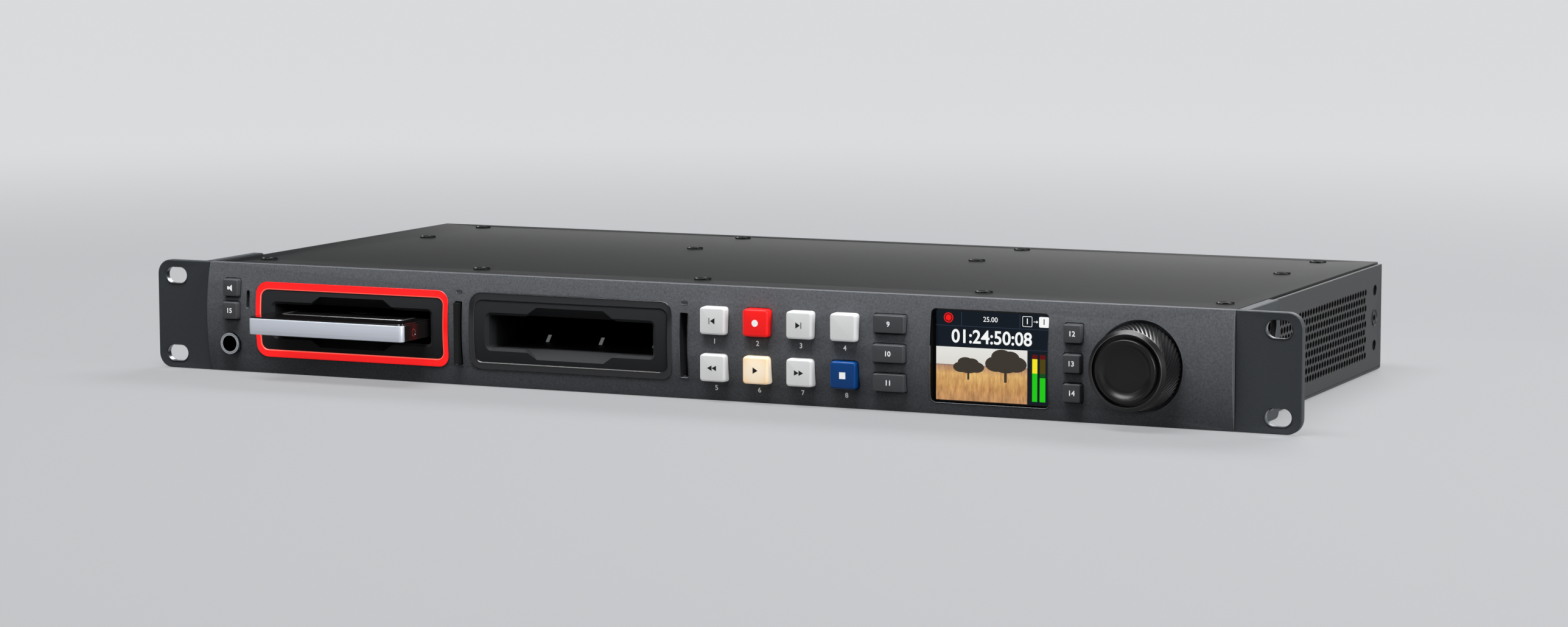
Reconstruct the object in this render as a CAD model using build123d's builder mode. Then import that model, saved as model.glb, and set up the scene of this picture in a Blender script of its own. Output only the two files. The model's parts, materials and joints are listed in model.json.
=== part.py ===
from build123d import *
import os
from math import atan, cos, degrees, radians, sin, sqrt

os.makedirs("parts", exist_ok=True)

# Frame: X to the right of the front, Y from front to back, Z up.
# The origin is the middle of the rack slot pattern, on the rear face of the ears.

# Rack front
rack_width = 482.6
ear_w = 25.0
panel_h = 44.0
slot_spacing_x = 465.1
slot_spacing_z = 31.75
slot_length = 10.3
slot_width = 6.9
ear_t = 3.0
ear_corner_r = 5.8
arm_t = 3.8
arm_length = 38.5
arm_corner_r = 3.0
arm_bore_d = 11.0
arm_bore_depth = 2.2
arm_bore_y = 29.0
arm_bore_z = 12.6

# Convex front panel
bulge = 3.0
panel_edge_t = 3.0
fit_gap = 0.1

# Case
case_depth = 188.0
sheet_t = 1.2
bend_r = 1.6
side_drop = 1.2
cover_drop = 0.4
cover_t = 1.0
cover_side_gap = 0.4
cover_front_gap = 0.3
flange_w = 9.0
side_hole_d = 4.4
side_hole_z = 11.1
side_screw_d = 6.5
side_hole_inset = 9.2
side_tab_l = 14.0
side_tab_h = 16.0
rear_flange_l = 13.0

# Side vents: pointed hexagons in staggered rows
vent_pitch = 11.9
vent_flat = 8.6
vent_rows = 3
vent_columns = 10
vent_start_y = 51.5
vent_center_z = -1.2

# Rails under the cover that take its screws
rail_top_w = 12.0
rail_leg_h = 5.0
front_rail_y = 22.2
middle_rail_from_rear = 56.7

# Drive bays
bay_x = (-149.15, -51.5)
ring_w = 88.1
ring_h = 30.2
ring_r = 4.8
bezel_w = 83.5
bezel_h = 24.3
bezel_r = 3.0
bezel_sink = 0.3
bezel_flange = 1.2
bezel_flange_t = 1.6
mouth_w = 71.6
mouth_h = 13.0
mouth_r = 1.2
mouth_edge_w = 1.05
mouth_edge_depth = 0.75
scoop_z = 10.2
scoop_top_w = 29.0
scoop_base_w = 40.0
scoop_depth = 3.8
cage_wall = 1.6
cage_depth = 112.0
cage_sill = 19.0
cage_leg_l = 36.0
guide_w = 1.5
guide_pitch = 23.5
ledge_w = 3.0

# Solid state drive, drawn part way out of the left bay
drive_w = 69.85
drive_l = 100.2
drive_h = 7.0
drive_lid_t = 0.6
drive_lid_edge = 0.4
drive_corner_r = 1.6
drive_proud = 20.0
drive_travel_in = 20.3
drive_play = 0.3
drive_hole_d = 2.6
drive_hole_depth = 2.5
drive_hole_from_rear = (14.0, 90.6)
drive_hole_up = 3.0
plug_w = 38.0
plug_h = 2.4
plug_depth = 5.5
socket_w = 42.0
socket_h = 6.0
tongue_w = 36.0
tongue_t = 1.2
tongue_l = 4.6

# Card slots and status lights
card_x = (-100.45, -2.3)
card_z = -1.3
card_slot_w = 3.6
card_slot_h = 25.2
card_slot_r = 0.6
card_w = 24.0
card_l = 32.0
card_t = 2.1
card_corner = 3.6
card_proud = 1.5
card_push = 1.0
reader_wall = 1.4
reader_play = 0.25
lens_x = (-100.35, -2.35)
lens_z = 15.0
lens_w = 3.0
lens_h = 1.45
lens_base = 0.7
lens_base_t = 1.2

# Headphone jack and the narrow slit above it
jack_from_end = 10.95
jack_z = -10.4
jack_hole_d = 9.6
jack_nose_d = 8.6
jack_bore_d = 6.5
jack_proud = 1.2
jack_body_w = 11.4
jack_body_l = 30.0
jack_end_wall = 1.5
slit_from_end = 19.3
slit_z = 7.7
slit_w = 1.65
slit_h = 7.5

# Keys
key_gap = 0.35
key_rest_gap = 0.3
key_lip = 0.9
key_lip_t = 1.2
key_travel = 1.2
switch_slack = 0.1
switch_w = 5.0
transport_x0 = 11.0
transport_pitch = 18.0
transport_size = 10.6
transport_proud = 3.0
transport_corner = 0.8
transport_edge = 0.7
black_key_proud = 2.2
black_key_corner = 0.5
black_key_edge = 0.5
wide_key_from_screen = 39.3
wide_key_pitch = 11.0
wide_key_w = 13.0
wide_key_h = 7.1
small_key_from_dial = 25.2
small_key_pitch = 10.9
small_key_size = 7.2
left_key_from_end = 12.0
left_key_z = (12.2, 3.05)

# Screen
screen_from_dial = 58.4
pocket_w = 46.9
pocket_h = 35.2
pocket_r = 2.0
glass_t = 1.5
display_margin = 1.2
display_t = 4.2

# Jog dial with a spiral knurl
dial_from_end = 35.5
dial_recess_r = 17.0
dial_recess_depth = 3.5
dial_back_r = 15.9
dial_front_r = 14.85
dial_lift = 0.4
dial_height = 12.2
dial_slope = 1.3
dial_ring_r = 13.4
dial_land = 0.3
groove_depth = 2.0
cap_r = 11.55
cap_proud = 1.5
cap_rim = 1.0
cap_dish = 1.3
cap_floor_r = 7.5
knurl_count = 54
knurl_depth = 0.5
knurl_twist = 28.0
knurl_spans = 2
collar_h = 2.2
skirt_wall = 2.6
web_t = 2.4
hub_r = 5.0
hub_gap = 0.5
shaft_d = 6.0
shaft_play = 0.03
shaft_depth = 3.0
bushing_r = 4.4
bushing_proud = 2.0
encoder_w = 13.0

# Boards on bosses behind the panel
board_gap = 3.1
board_lift = 7.0
board_t = 1.6
board_h = 38.0
boss_w = 4.0
boss_inset = 2.0

# Electronics on the floor
main_board_left = -108.0
main_board_cage_gap = 2.4
main_board_gap = 3.0
post_h = 4.0
post_d = 6.0
post_inset = 6.0
supply_left_gap = 4.0
supply_w = 95.0
supply_inlet_gap = 6.0
supply_h = 33.0
supply_edge = 1.0

# Fan behind the vents of the right side
fan_size = 40.0
fan_t = 10.0
fan_y = 82.0
fan_bore_d = 37.4
fan_tip_gap = 0.6
fan_hub_d = 16.0
fan_strut_t = 1.8
fan_strut_w = 4.0
fan_pin_d = 3.0
fan_pin_play = 0.05
fan_end_gap = 0.4
fan_blades = 7
fan_blade_w = 8.0
fan_blade_t = 1.2
fan_blade_tilt = 35.0

# Rear sockets
socket_fit = 0.2
socket_proud = 0.5
bnc_x0 = 8.0
bnc_pitch = 24.0
bnc_count = 4
bnc_z = -1.0
bnc_d = 9.6
bnc_proud = 12.0
bnc_inside = 8.0
bnc_inside_w = 9.0
bnc_nut_w = 14.0
bnc_nut_t = 2.0
bnc_bore_d = 8.2
bnc_bore_depth = 9.0
bnc_core_d = 4.8
bnc_core_sink = 1.0
hdmi_x = (-46.0, -22.0)
hdmi_w = 15.0
hdmi_h = 5.6
hdmi_l = 12.0
hdmi_wall = 0.5
hdmi_depth = 8.0
hdmi_tongue_w = 10.0
hdmi_tongue_t = 1.2
lan_x = -92.0
lan_w = 16.0
lan_h = 13.5
lan_l = 21.0
lan_mouth_w = 11.8
lan_mouth_h = 8.2
lan_mouth_depth = 14.0
lan_latch_w = 6.0
lan_latch_h = 2.2
usb_x = -69.0
usb_w = 9.0
usb_h = 3.3
usb_l = 8.0
usb_wall = 0.35
usb_depth = 6.0
usb_tongue_w = 6.6
usb_tongue_t = 0.7
remote_x = -128.0
remote_z = -1.0
remote_flange_w = 30.8
remote_flange_h = 12.5
remote_flange_t = 1.0
remote_w = 17.0
remote_h = 8.4
remote_slant = 1.4
remote_r = 2.2
remote_proud = 5.8
remote_inside = 9.0
inlet_x = -178.0
inlet_z = -1.0
inlet_flange_w = 31.0
inlet_flange_h = 25.0
inlet_flange_t = 1.8
inlet_flange_r = 2.5
inlet_w = 27.0
inlet_h = 20.0
inlet_l = 20.0
inlet_mouth_w = 24.2
inlet_mouth_h = 16.4
inlet_mouth_depth = 15.0
inlet_mouth_cut = 4.5
inlet_pin_w = 2.0
inlet_pin_h = 4.0
inlet_pin_l = 12.5
inlet_pin_gap = 14.0
inlet_pin_step = 4.0

# Planes and edges that the pieces share
half_h = panel_h / 2
front_y = -ear_t
panel_back_y = front_y + panel_edge_t
crown_y = front_y - bulge
rear_y = panel_back_y + case_depth
rear_panel_y = rear_y - sheet_t
middle_rail_y = rear_y - middle_rail_from_rear
floor_z = -half_h + sheet_t
side_top_z = half_h - side_drop
cover_top_z = half_h - cover_drop
cover_under_z = cover_top_z - cover_t
case_width = rack_width - 2 * ear_w
wall_x = case_width / 2
wall_inner_x = wall_x - sheet_t
rail_end_x = wall_inner_x - flange_w
jack_x = jack_from_end - wall_x
slit_x = slit_from_end - wall_x
left_key_x = left_key_from_end - wall_x
dial_x = wall_x - dial_from_end
small_key_x = dial_x - small_key_from_dial
screen_x = dial_x - screen_from_dial
wide_key_x = screen_x - wide_key_from_screen
arc_r = (half_h ** 2 + bulge ** 2) / (2 * bulge)
cut_reach = panel_edge_t + bulge + 1.0
side_hole_y = rear_y - side_hole_inset


def facing(y):
    """Plane parallel to the front at depth y, with its normal towards the viewer."""
    return Plane.XZ.offset(-y)


def panel_y(z):
    """Depth of the convex front surface at height z."""
    return crown_y + arc_r - sqrt(arc_r ** 2 - z ** 2)


def convex_section(x, back_y, sink):
    """Side section with the convex front, set back by sink, and a flat back."""
    low = (front_y + sink, -half_h)
    high = (front_y + sink, half_h)
    with BuildSketch(Plane.YZ.offset(x)) as profile:
        with BuildLine():
            ThreePointArc(low, (crown_y + sink, 0), high)
            Polyline(high, (back_y, half_h), (back_y, -half_h), low)
        make_face()
    return profile.sketch


def round_rect(y, x, z, width, height, radius):
    """Rounded rectangle that faces the viewer at depth y."""
    with BuildSketch(facing(y)) as outline:
        with Locations((x, z)):
            RectangleRounded(width, height, radius)
    return outline.sketch


def key_rect(y, x, z, width, height, corner):
    """Rectangle with cut corners that faces the viewer at depth y."""
    with BuildSketch(facing(y)) as outline:
        with Locations((x, z)):
            Rectangle(width, height)
        chamfer(outline.vertices(), corner)
    return outline.sketch


def rect(y, x, z, width, height):
    """Plain rectangle that faces the viewer at depth y."""
    with BuildSketch(facing(y)) as outline:
        with Locations((x, z)):
            Rectangle(width, height)
    return outline.sketch


def disc(y, x, z, diameter):
    """Circle that faces the viewer at depth y."""
    with BuildSketch(facing(y)) as outline:
        with Locations((x, z)):
            Circle(diameter / 2)
    return outline.sketch


def finish(piece, name):
    """Label a piece and write its file."""
    piece.part.label = name
    export_step(piece.part, f"parts/{name}.step")


# Keys: name, centre x, centre z, width, height, how far it stands out, corner, edge
keys = []
transport_names = (
    ("key_skip_back", "key_record", "key_skip_forward", "key_input"),
    ("key_rewind", "key_play", "key_fast_forward", "key_stop"),
)
for row, names in enumerate(transport_names):
    for column, name in enumerate(names):
        keys.append((name, transport_x0 + column * transport_pitch,
                     (0.5 - row) * transport_pitch, transport_size, transport_size,
                     transport_proud, transport_corner, transport_edge))
for row, name in enumerate(("key_search", "key_menu", "key_set")):
    keys.append((name, wide_key_x, (1 - row) * wide_key_pitch, wide_key_w, wide_key_h,
                 black_key_proud, black_key_corner, black_key_edge))
for row, name in enumerate(("key_shuttle", "key_jog", "key_scroll")):
    keys.append((name, small_key_x, (1 - row) * small_key_pitch, small_key_size,
                 small_key_size, black_key_proud, black_key_corner, black_key_edge))
for name, z in zip(("key_mute", "key_remote"), left_key_z):
    keys.append((name, left_key_x, z, small_key_size, small_key_size,
                 black_key_proud, black_key_corner, black_key_edge))

lip_y = panel_back_y + key_rest_gap
switch_y = lip_y + key_lip_t + key_travel + switch_slack
board_y = panel_back_y + board_lift
bezel_flange_w = ring_w + 2 * bezel_flange
bezel_flange_h = ring_h + 2 * bezel_flange
cage_y = panel_back_y + bezel_flange_t
cage_back_y = cage_y + cage_depth
main_board_front = cage_back_y + main_board_cage_gap
cage_w = mouth_w + 2 * cage_wall
cage_h = mouth_h + 2 * cage_wall
reader_w = card_t + 2 * reader_play + 2 * reader_wall
display_w = pocket_w + 2 * display_margin
display_h = pocket_h + 2 * display_margin
encoder_left = dial_x - encoder_w / 2
encoder_right = dial_x + encoder_w / 2
transport_right = transport_x0 + 3 * transport_pitch + transport_size / 2
boss_z = board_h / 2 - boss_inset
control_boss_x = (
    transport_x0 + transport_pitch / 2,
    (transport_right + wide_key_x - wide_key_w / 2) / 2,
    (wide_key_x + wide_key_w / 2 + screen_x - display_w / 2) / 2,
    (small_key_x + small_key_size / 2 + encoder_left) / 2,
    (encoder_right + wall_inner_x) / 2,
)
side_boss_x = (jack_x + jack_body_w / 2 + bay_x[0] - bezel_flange_w / 2) / 2
dial_floor_y = crown_y + dial_recess_depth

# Front panel: convex aluminium, with every opening cut from its flat back
with BuildPart() as front_panel:
    extrude(convex_section(fit_gap - wall_x, panel_back_y, 0),
            amount=case_width - 2 * fit_gap)
    for x in bay_x:
        extrude(round_rect(panel_back_y, x, 0, ring_w + 2 * fit_gap, ring_h + 2 * fit_gap,
                           ring_r + fit_gap), amount=cut_reach, mode=Mode.SUBTRACT)
    for x in card_x:
        extrude(round_rect(panel_back_y, x, card_z, card_slot_w, card_slot_h, card_slot_r),
                amount=cut_reach, mode=Mode.SUBTRACT)
    with BuildSketch(facing(panel_back_y)):
        with Locations([(x, lens_z) for x in lens_x]):
            SlotOverall(lens_w, lens_h)
        with Locations((slit_x, slit_z)):
            SlotOverall(slit_h, slit_w, rotation=90)
    extrude(amount=cut_reach, mode=Mode.SUBTRACT)
    extrude(disc(panel_back_y, jack_x, jack_z, jack_hole_d), amount=cut_reach,
            mode=Mode.SUBTRACT)
    extrude(round_rect(panel_back_y, screen_x, 0, pocket_w, pocket_h, pocket_r),
            amount=cut_reach, mode=Mode.SUBTRACT)
    extrude(disc(dial_floor_y, dial_x, 0, 2 * dial_recess_r), amount=cut_reach,
            mode=Mode.SUBTRACT)
    extrude(disc(panel_back_y, dial_x, 0, 2 * (bushing_r + fit_gap)), amount=cut_reach,
            mode=Mode.SUBTRACT)
    for name, x, z, width, height, proud, corner, edge in keys:
        extrude(key_rect(panel_back_y, x, z, width + 2 * key_gap, height + 2 * key_gap,
                         corner), amount=cut_reach, mode=Mode.SUBTRACT)
    with BuildSketch(facing(board_y)):
        with Locations([(x, z) for x in (side_boss_x, *control_boss_x)
                        for z in (-boss_z, boss_z)]):
            Rectangle(boss_w, boss_w)
    extrude(amount=board_lift)
finish(front_panel, "front_panel")

# Rack ears: a plate with two slots, and an arm along the outside of the case
for side, name in ((-1, "rack_ear_left"), (1, "rack_ear_right")):
    arm_side = Plane((side * wall_x, 0, 0), x_dir=(0, 1, 0), z_dir=(1, 0, 0))
    arm_bores = [(arm_bore_y, side_z * arm_bore_z) for side_z in (-1, 1)]
    with BuildPart() as ear:
        with BuildSketch(facing(0)) as plate:
            with Locations((side * (wall_x + ear_w / 2), 0)):
                Rectangle(ear_w, panel_h)
            fillet(plate.vertices().sort_by(Axis.X)[::side][-2:], ear_corner_r)
            with Locations([(side * slot_spacing_x / 2, side_z * slot_spacing_z / 2)
                            for side_z in (-1, 1)]):
                SlotOverall(slot_length, slot_width, mode=Mode.SUBTRACT)
        extrude(amount=ear_t)
        with BuildSketch(arm_side) as arm:
            with Locations(((arm_length + front_y) / 2, 0)):
                Rectangle(arm_length - front_y, panel_h)
            fillet(arm.vertices().group_by(Axis.X)[-1], arm_corner_r)
        extrude(amount=side * arm_t)
        with BuildSketch(arm_side.offset(side * arm_t)):
            with Locations(arm_bores):
                Circle(arm_bore_d / 2)
        extrude(amount=-side * arm_bore_depth, mode=Mode.SUBTRACT)
    finish(ear, name)

# Case: one bent sheet with a floor, vented sides, cover flanges and board posts
vent_rise = vent_pitch * sqrt(3) / 2
main_board_right = wall_inner_x - main_board_gap
main_board_back = rear_panel_y - main_board_gap
post_x = (main_board_left + post_inset, (main_board_left + main_board_right) / 2,
          main_board_right - post_inset)
post_y = (main_board_front + post_inset, main_board_back - post_inset)
with BuildPart() as chassis_tray:
    with BuildSketch(facing(panel_back_y)) as sheet:
        with Locations((0, -half_h)):
            Rectangle(case_width, side_top_z + half_h, align=(Align.CENTER, Align.MIN))
        fillet(sheet.vertices().group_by(Axis.Y)[0], bend_r)
        with Locations((0, floor_z)):
            Rectangle(2 * wall_inner_x, panel_h, align=(Align.CENTER, Align.MIN),
                      mode=Mode.SUBTRACT)
    extrude(amount=-case_depth)
    for side in (-1, 1):
        extrude(rect(panel_back_y, side * (wall_inner_x - flange_w / 2),
                     cover_under_z - sheet_t / 2, flange_w, sheet_t),
                amount=panel_back_y - rear_panel_y)
    with BuildSketch(Plane.YZ.offset(-rack_width / 2)):
        for row in range(vent_rows):
            shift = vent_pitch / 2 * (row % 2)
            vent_z = vent_center_z + (row - (vent_rows - 1) / 2) * vent_rise
            with Locations([(vent_start_y + column * vent_pitch + shift, vent_z)
                            for column in range(vent_columns)]):
                RegularPolygon(vent_flat / 2, 6, major_radius=False, rotation=30)
        with Locations((side_hole_y, side_hole_z), (side_hole_y, -side_hole_z)):
            Circle(side_hole_d / 2)
        with Locations((side_hole_y, 0)):
            Circle(side_screw_d / 2)
    extrude(amount=rack_width, mode=Mode.SUBTRACT)
    with BuildSketch(Plane.XY.offset(floor_z)):
        with Locations([(x, y) for x in post_x for y in post_y]):
            RegularPolygon(post_d / 2, 6)
    extrude(amount=post_h)
finish(chassis_tray, "chassis_tray")

# Cover: a flat sheet on the flanges, a little inside the sides
with BuildPart() as top_cover:
    with BuildSketch(Plane.XY.offset(cover_under_z)):
        with Locations((0, panel_back_y + cover_front_gap)):
            Rectangle(2 * (wall_inner_x - cover_side_gap), case_depth - cover_front_gap,
                      align=(Align.CENTER, Align.MIN))
    extrude(amount=cover_t)
finish(top_cover, "top_cover")

# Rails: channels under the cover, from flange to flange
for name, rail_y in (("front_rail", front_rail_y), ("middle_rail", middle_rail_y)):
    with BuildPart() as rail:
        with BuildSketch(Plane.YZ.offset(-rail_end_x)):
            with Locations((rail_y, cover_under_z)):
                Rectangle(rail_top_w, rail_leg_h, align=(Align.CENTER, Align.MAX))
            with Locations((rail_y, cover_under_z - sheet_t)):
                Rectangle(rail_top_w - 2 * sheet_t, rail_leg_h,
                          align=(Align.CENTER, Align.MAX), mode=Mode.SUBTRACT)
        extrude(amount=2 * rail_end_x)
    finish(rail, name)

# Bay plates: convex faces with a bevelled mouth and a finger scoop above and below
with BuildPart() as scoops:
    with BuildSketch(Plane.YZ.offset(-scoop_base_w / 2)):
        with BuildLine():
            Polyline((panel_y(scoop_z) + bezel_sink, scoop_z),
                     (panel_y(scoop_z) + bezel_sink + scoop_depth, mouth_h / 2),
                     (crown_y - cut_reach, mouth_h / 2),
                     (crown_y - cut_reach, scoop_z), close=True)
        make_face()
    extrude(amount=scoop_base_w)
    with BuildSketch(facing(panel_back_y)):
        with BuildLine():
            Polyline((-scoop_base_w / 2, mouth_h / 2), (-scoop_top_w / 2, scoop_z),
                     (scoop_top_w / 2, scoop_z), (scoop_base_w / 2, mouth_h / 2),
                     close=True)
        make_face()
    extrude(amount=2 * cut_reach, mode=Mode.INTERSECT)
    mirror(about=Plane.XY)

mouth_edge_y = panel_y(mouth_h / 2 + mouth_edge_w) + bezel_sink + mouth_edge_depth
mouth_taper = degrees(atan(mouth_edge_w / mouth_edge_depth))
for x, name in zip(bay_x, ("bay_plate_left", "bay_plate_right")):
    with BuildPart() as plate:
        extrude(convex_section(x - bezel_w / 2, panel_back_y, bezel_sink), amount=bezel_w)
        extrude(round_rect(panel_back_y, x, 0, bezel_w - 2 * fit_gap,
                           bezel_h - 2 * fit_gap, bezel_r - fit_gap),
                amount=cut_reach, mode=Mode.INTERSECT)
        extrude(rect(panel_back_y, x, 0, bezel_flange_w, bezel_flange_h),
                amount=-bezel_flange_t)
        extrude(round_rect(cage_y, x, 0, mouth_w, mouth_h, mouth_r),
                amount=bezel_flange_t + cut_reach, mode=Mode.SUBTRACT)
        extrude(round_rect(mouth_edge_y, x, 0, mouth_w, mouth_h, mouth_r),
                amount=2 * mouth_edge_depth, taper=-mouth_taper, mode=Mode.SUBTRACT)
        with Locations((x, 0, 0)):
            add(scoops.part, mode=Mode.SUBTRACT)
    finish(plate, name)

# Light rings: frames flush with the convex front, between the panel and the bay plates
for x, name in zip(bay_x, ("light_ring_left", "light_ring_right")):
    with BuildPart() as ring:
        extrude(convex_section(x - ring_w / 2, panel_back_y, 0), amount=ring_w)
        extrude(round_rect(panel_back_y, x, 0, ring_w, ring_h, ring_r), amount=cut_reach,
                mode=Mode.INTERSECT)
        extrude(round_rect(panel_back_y, x, 0, bezel_w, bezel_h, bezel_r),
                amount=cut_reach, mode=Mode.SUBTRACT)
    finish(ring, name)

# Drive cages: boxes behind the plates, with a smooth sill, three guides and two ledges
guide_top_z = -drive_h / 2 - drive_play
guide_h = guide_top_z + mouth_h / 2
cage_inner_y = cage_back_y - cage_wall
guide_y = cage_y + cage_sill
guide_reach = cage_inner_y - guide_y
for x, name in zip(bay_x, ("drive_cage_left", "drive_cage_right")):
    with BuildPart() as cage:
        extrude(rect(cage_y, x, 0, cage_w, cage_h), amount=-cage_depth)
        extrude(rect(cage_y, x, 0, mouth_w, mouth_h), amount=cage_wall - cage_depth,
                mode=Mode.SUBTRACT)
        for step in (-1, 0, 1):
            with BuildSketch(Plane.YZ.offset(x + step * guide_pitch - guide_w / 2)):
                with BuildLine():
                    Polyline((guide_y, -mouth_h / 2), (guide_y + guide_h, guide_top_z),
                             (cage_inner_y, guide_top_z), (cage_inner_y, -mouth_h / 2),
                             close=True)
                make_face()
            extrude(amount=guide_w)
        for side in (-1, 1):
            extrude(rect(guide_y, x + side * (mouth_w - ledge_w) / 2,
                         (mouth_h / 2 - guide_top_z) / 2, ledge_w, guide_h),
                    amount=-guide_reach)
            extrude(rect(cage_back_y, x + side * (cage_w - cage_wall) / 2,
                         (floor_z - cage_h / 2) / 2, cage_wall, -floor_z - cage_h / 2),
                    amount=cage_leg_l)
    finish(cage, name)

# Drive sockets: blocks at the back of the cages, with a tongue for the drive's plug
drive_y = crown_y - drive_proud
drive_rear_y = drive_y + drive_l
socket_y = drive_rear_y + drive_travel_in + drive_play
for x, name in zip(bay_x, ("drive_socket_left", "drive_socket_right")):
    with BuildPart() as socket:
        extrude(rect(cage_inner_y, x, 0, socket_w, socket_h),
                amount=cage_inner_y - socket_y)
        extrude(rect(socket_y, x, 0, tongue_w, tongue_t), amount=tongue_l)
    finish(socket, name)

# Drive: a metal case with screw holes in its sides and a thin black lid
drive_z = -drive_h / 2
with BuildPart() as drive_body:
    with BuildSketch(Plane.XY.offset(drive_z)):
        with Locations((bay_x[0], (drive_y + drive_rear_y) / 2)):
            RectangleRounded(drive_w, drive_l, drive_corner_r)
    extrude(amount=drive_h - drive_lid_t)
    extrude(rect(drive_rear_y, bay_x[0], 0, plug_w, plug_h), amount=plug_depth,
            mode=Mode.SUBTRACT)
    for side in (-1, 1):
        with BuildSketch(Plane.YZ.offset(bay_x[0] + side * drive_w / 2)):
            with Locations([(drive_rear_y - back, drive_z + drive_hole_up)
                            for back in drive_hole_from_rear]):
                Circle(drive_hole_d / 2)
        extrude(amount=-side * drive_hole_depth, mode=Mode.SUBTRACT)
finish(drive_body, "drive_body")

with BuildPart() as drive_lid:
    with BuildSketch(Plane.XY.offset(drive_z + drive_h - drive_lid_t)):
        with Locations((bay_x[0], (drive_y + drive_rear_y) / 2)):
            RectangleRounded(drive_w, drive_l, drive_corner_r)
    extrude(amount=drive_lid_t)
    chamfer(drive_lid.edges().group_by(Axis.Z)[-1], drive_lid_edge)
finish(drive_lid, "drive_lid")

# Card readers behind the two slots, and the card in the first one
card_y = panel_y(card_z) - card_proud
card_rear_y = card_y + card_l
reader_inner_y = card_rear_y + card_push + reader_play
for x, name in zip(card_x, ("card_reader_1", "card_reader_2")):
    with BuildPart() as reader:
        extrude(rect(panel_back_y, x, card_z, reader_w,
                     card_w + 2 * reader_play + 2 * reader_wall),
                amount=panel_back_y - reader_inner_y - reader_wall)
        extrude(rect(panel_back_y, x, card_z, card_t + 2 * reader_play,
                     card_w + 2 * reader_play),
                amount=panel_back_y - reader_inner_y, mode=Mode.SUBTRACT)
    finish(reader, name)

with BuildPart() as memory_card:
    with BuildSketch(Plane.YZ.offset(card_x[0] - card_t / 2)) as outline:
        with Locations(((card_y + card_rear_y) / 2, card_z)):
            Rectangle(card_l, card_w)
        chamfer(outline.vertices().sort_by(Axis.X)[-2:].sort_by(Axis.Y)[-1], card_corner)
    extrude(amount=card_t)
finish(memory_card, "memory_card")

# Status lights: small light pipes on a base behind the panel
with BuildPart() as status_lights:
    with BuildSketch(facing(panel_back_y)):
        with Locations([(x, lens_z) for x in lens_x]):
            SlotOverall(lens_w - 2 * fit_gap, lens_h - 2 * fit_gap)
    extrude(amount=panel_back_y - panel_y(lens_z) - fit_gap)
    with BuildSketch(facing(panel_back_y)):
        with Locations([(x, lens_z) for x in lens_x]):
            Rectangle(lens_w + 2 * lens_base, lens_h + 2 * lens_base)
    extrude(amount=-lens_base_t)
finish(status_lights, "status_lights")

# Headphone jack: a plated nose on a square body behind the panel
jack_face_y = panel_y(jack_z) - jack_proud
jack_rear_y = panel_back_y + jack_body_l
with BuildPart() as headphone_jack:
    extrude(rect(panel_back_y, jack_x, jack_z, jack_body_w, jack_body_w),
            amount=-jack_body_l)
    extrude(disc(panel_back_y, jack_x, jack_z, jack_nose_d),
            amount=panel_back_y - jack_face_y)
    extrude(disc(jack_face_y, jack_x, jack_z, jack_bore_d),
            amount=jack_face_y - jack_rear_y + jack_end_wall, mode=Mode.SUBTRACT)
finish(headphone_jack, "headphone_jack")

# Keys: caps through the panel, each on a lip that stops behind it
for name, x, z, width, height, proud, corner, edge in keys:
    with BuildPart() as key:
        extrude(key_rect(lip_y, x, z, width, height, corner),
                amount=lip_y - panel_y(z) + proud)
        chamfer(key.edges().group_by(Axis.Y)[0], edge)
        extrude(rect(lip_y, x, z, width + 2 * key_lip, height + 2 * key_lip),
                amount=-key_lip_t)
    finish(key, name)

# Switches: one on the boards behind each key
with BuildPart() as key_switches:
    for name, x, z, width, height, proud, corner, edge in keys:
        extrude(rect(board_y, x, z, switch_w, switch_w), amount=board_y - switch_y)
finish(key_switches, "key_switches")

# Boards on the bosses of the panel
control_left = card_x[1] + reader_w / 2 + board_gap
control_right = wall_inner_x - board_gap
with BuildPart() as control_board:
    extrude(rect(board_y, (control_left + control_right) / 2, 0,
                 control_right - control_left, board_h), amount=-board_t)
finish(control_board, "control_board")

side_left = board_gap - wall_inner_x
side_right = bay_x[0] - cage_w / 2 - board_gap
with BuildPart() as side_board:
    extrude(rect(board_y, (side_left + side_right) / 2, 0, side_right - side_left,
                 board_h), amount=-board_t)
    extrude(rect(board_y, jack_x, jack_z, jack_body_w + 2 * socket_fit,
                 jack_body_w + 2 * socket_fit), amount=-board_t, mode=Mode.SUBTRACT)
finish(side_board, "side_board")

# Screen: a window in the pocket and the display module behind it
with BuildPart() as screen_glass:
    extrude(round_rect(panel_back_y, screen_x, 0, pocket_w - 2 * fit_gap,
                       pocket_h - 2 * fit_gap, pocket_r - fit_gap), amount=glass_t)
finish(screen_glass, "screen_glass")

with BuildPart() as display_module:
    extrude(rect(panel_back_y, screen_x, 0, display_w, display_h), amount=-display_t)
finish(display_module, "display_module")

# Jog dial: a hollow skirt with a spiral knurl, a sloping ring, a groove and a hub
dial_back_y = dial_floor_y - dial_lift
knurl_y = dial_back_y - collar_h
dial_rim_y = crown_y - dial_height
dial_ring_y = dial_rim_y - dial_slope
seat_y = dial_ring_y + groove_depth
web_y = seat_y + web_t
bushing_y = dial_floor_y - bushing_proud
hub_y = bushing_y - hub_gap
knurl_front_r = dial_front_r - knurl_depth
collar_r = dial_back_r - knurl_depth
dial_axis = Axis((dial_x, 0, 0), (0, 1, 0))
dial_side = Plane((dial_x, 0, 0), x_dir=(1, 0, 0), z_dir=(0, 0, 1))


def knurl_ring(share):
    """Points around the skirt, with the ridges turned on as they near the front."""
    crest_r = dial_back_r + share * (dial_front_r - dial_back_r)
    y = knurl_y + share * (dial_rim_y - knurl_y)
    points = []
    for half_step in range(2 * knurl_count):
        r = crest_r - knurl_depth * (half_step % 2)
        angle = radians(half_step * 180 / knurl_count - share * knurl_twist)
        points.append((dial_x + r * cos(angle), y, r * sin(angle)))
    return points


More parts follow.
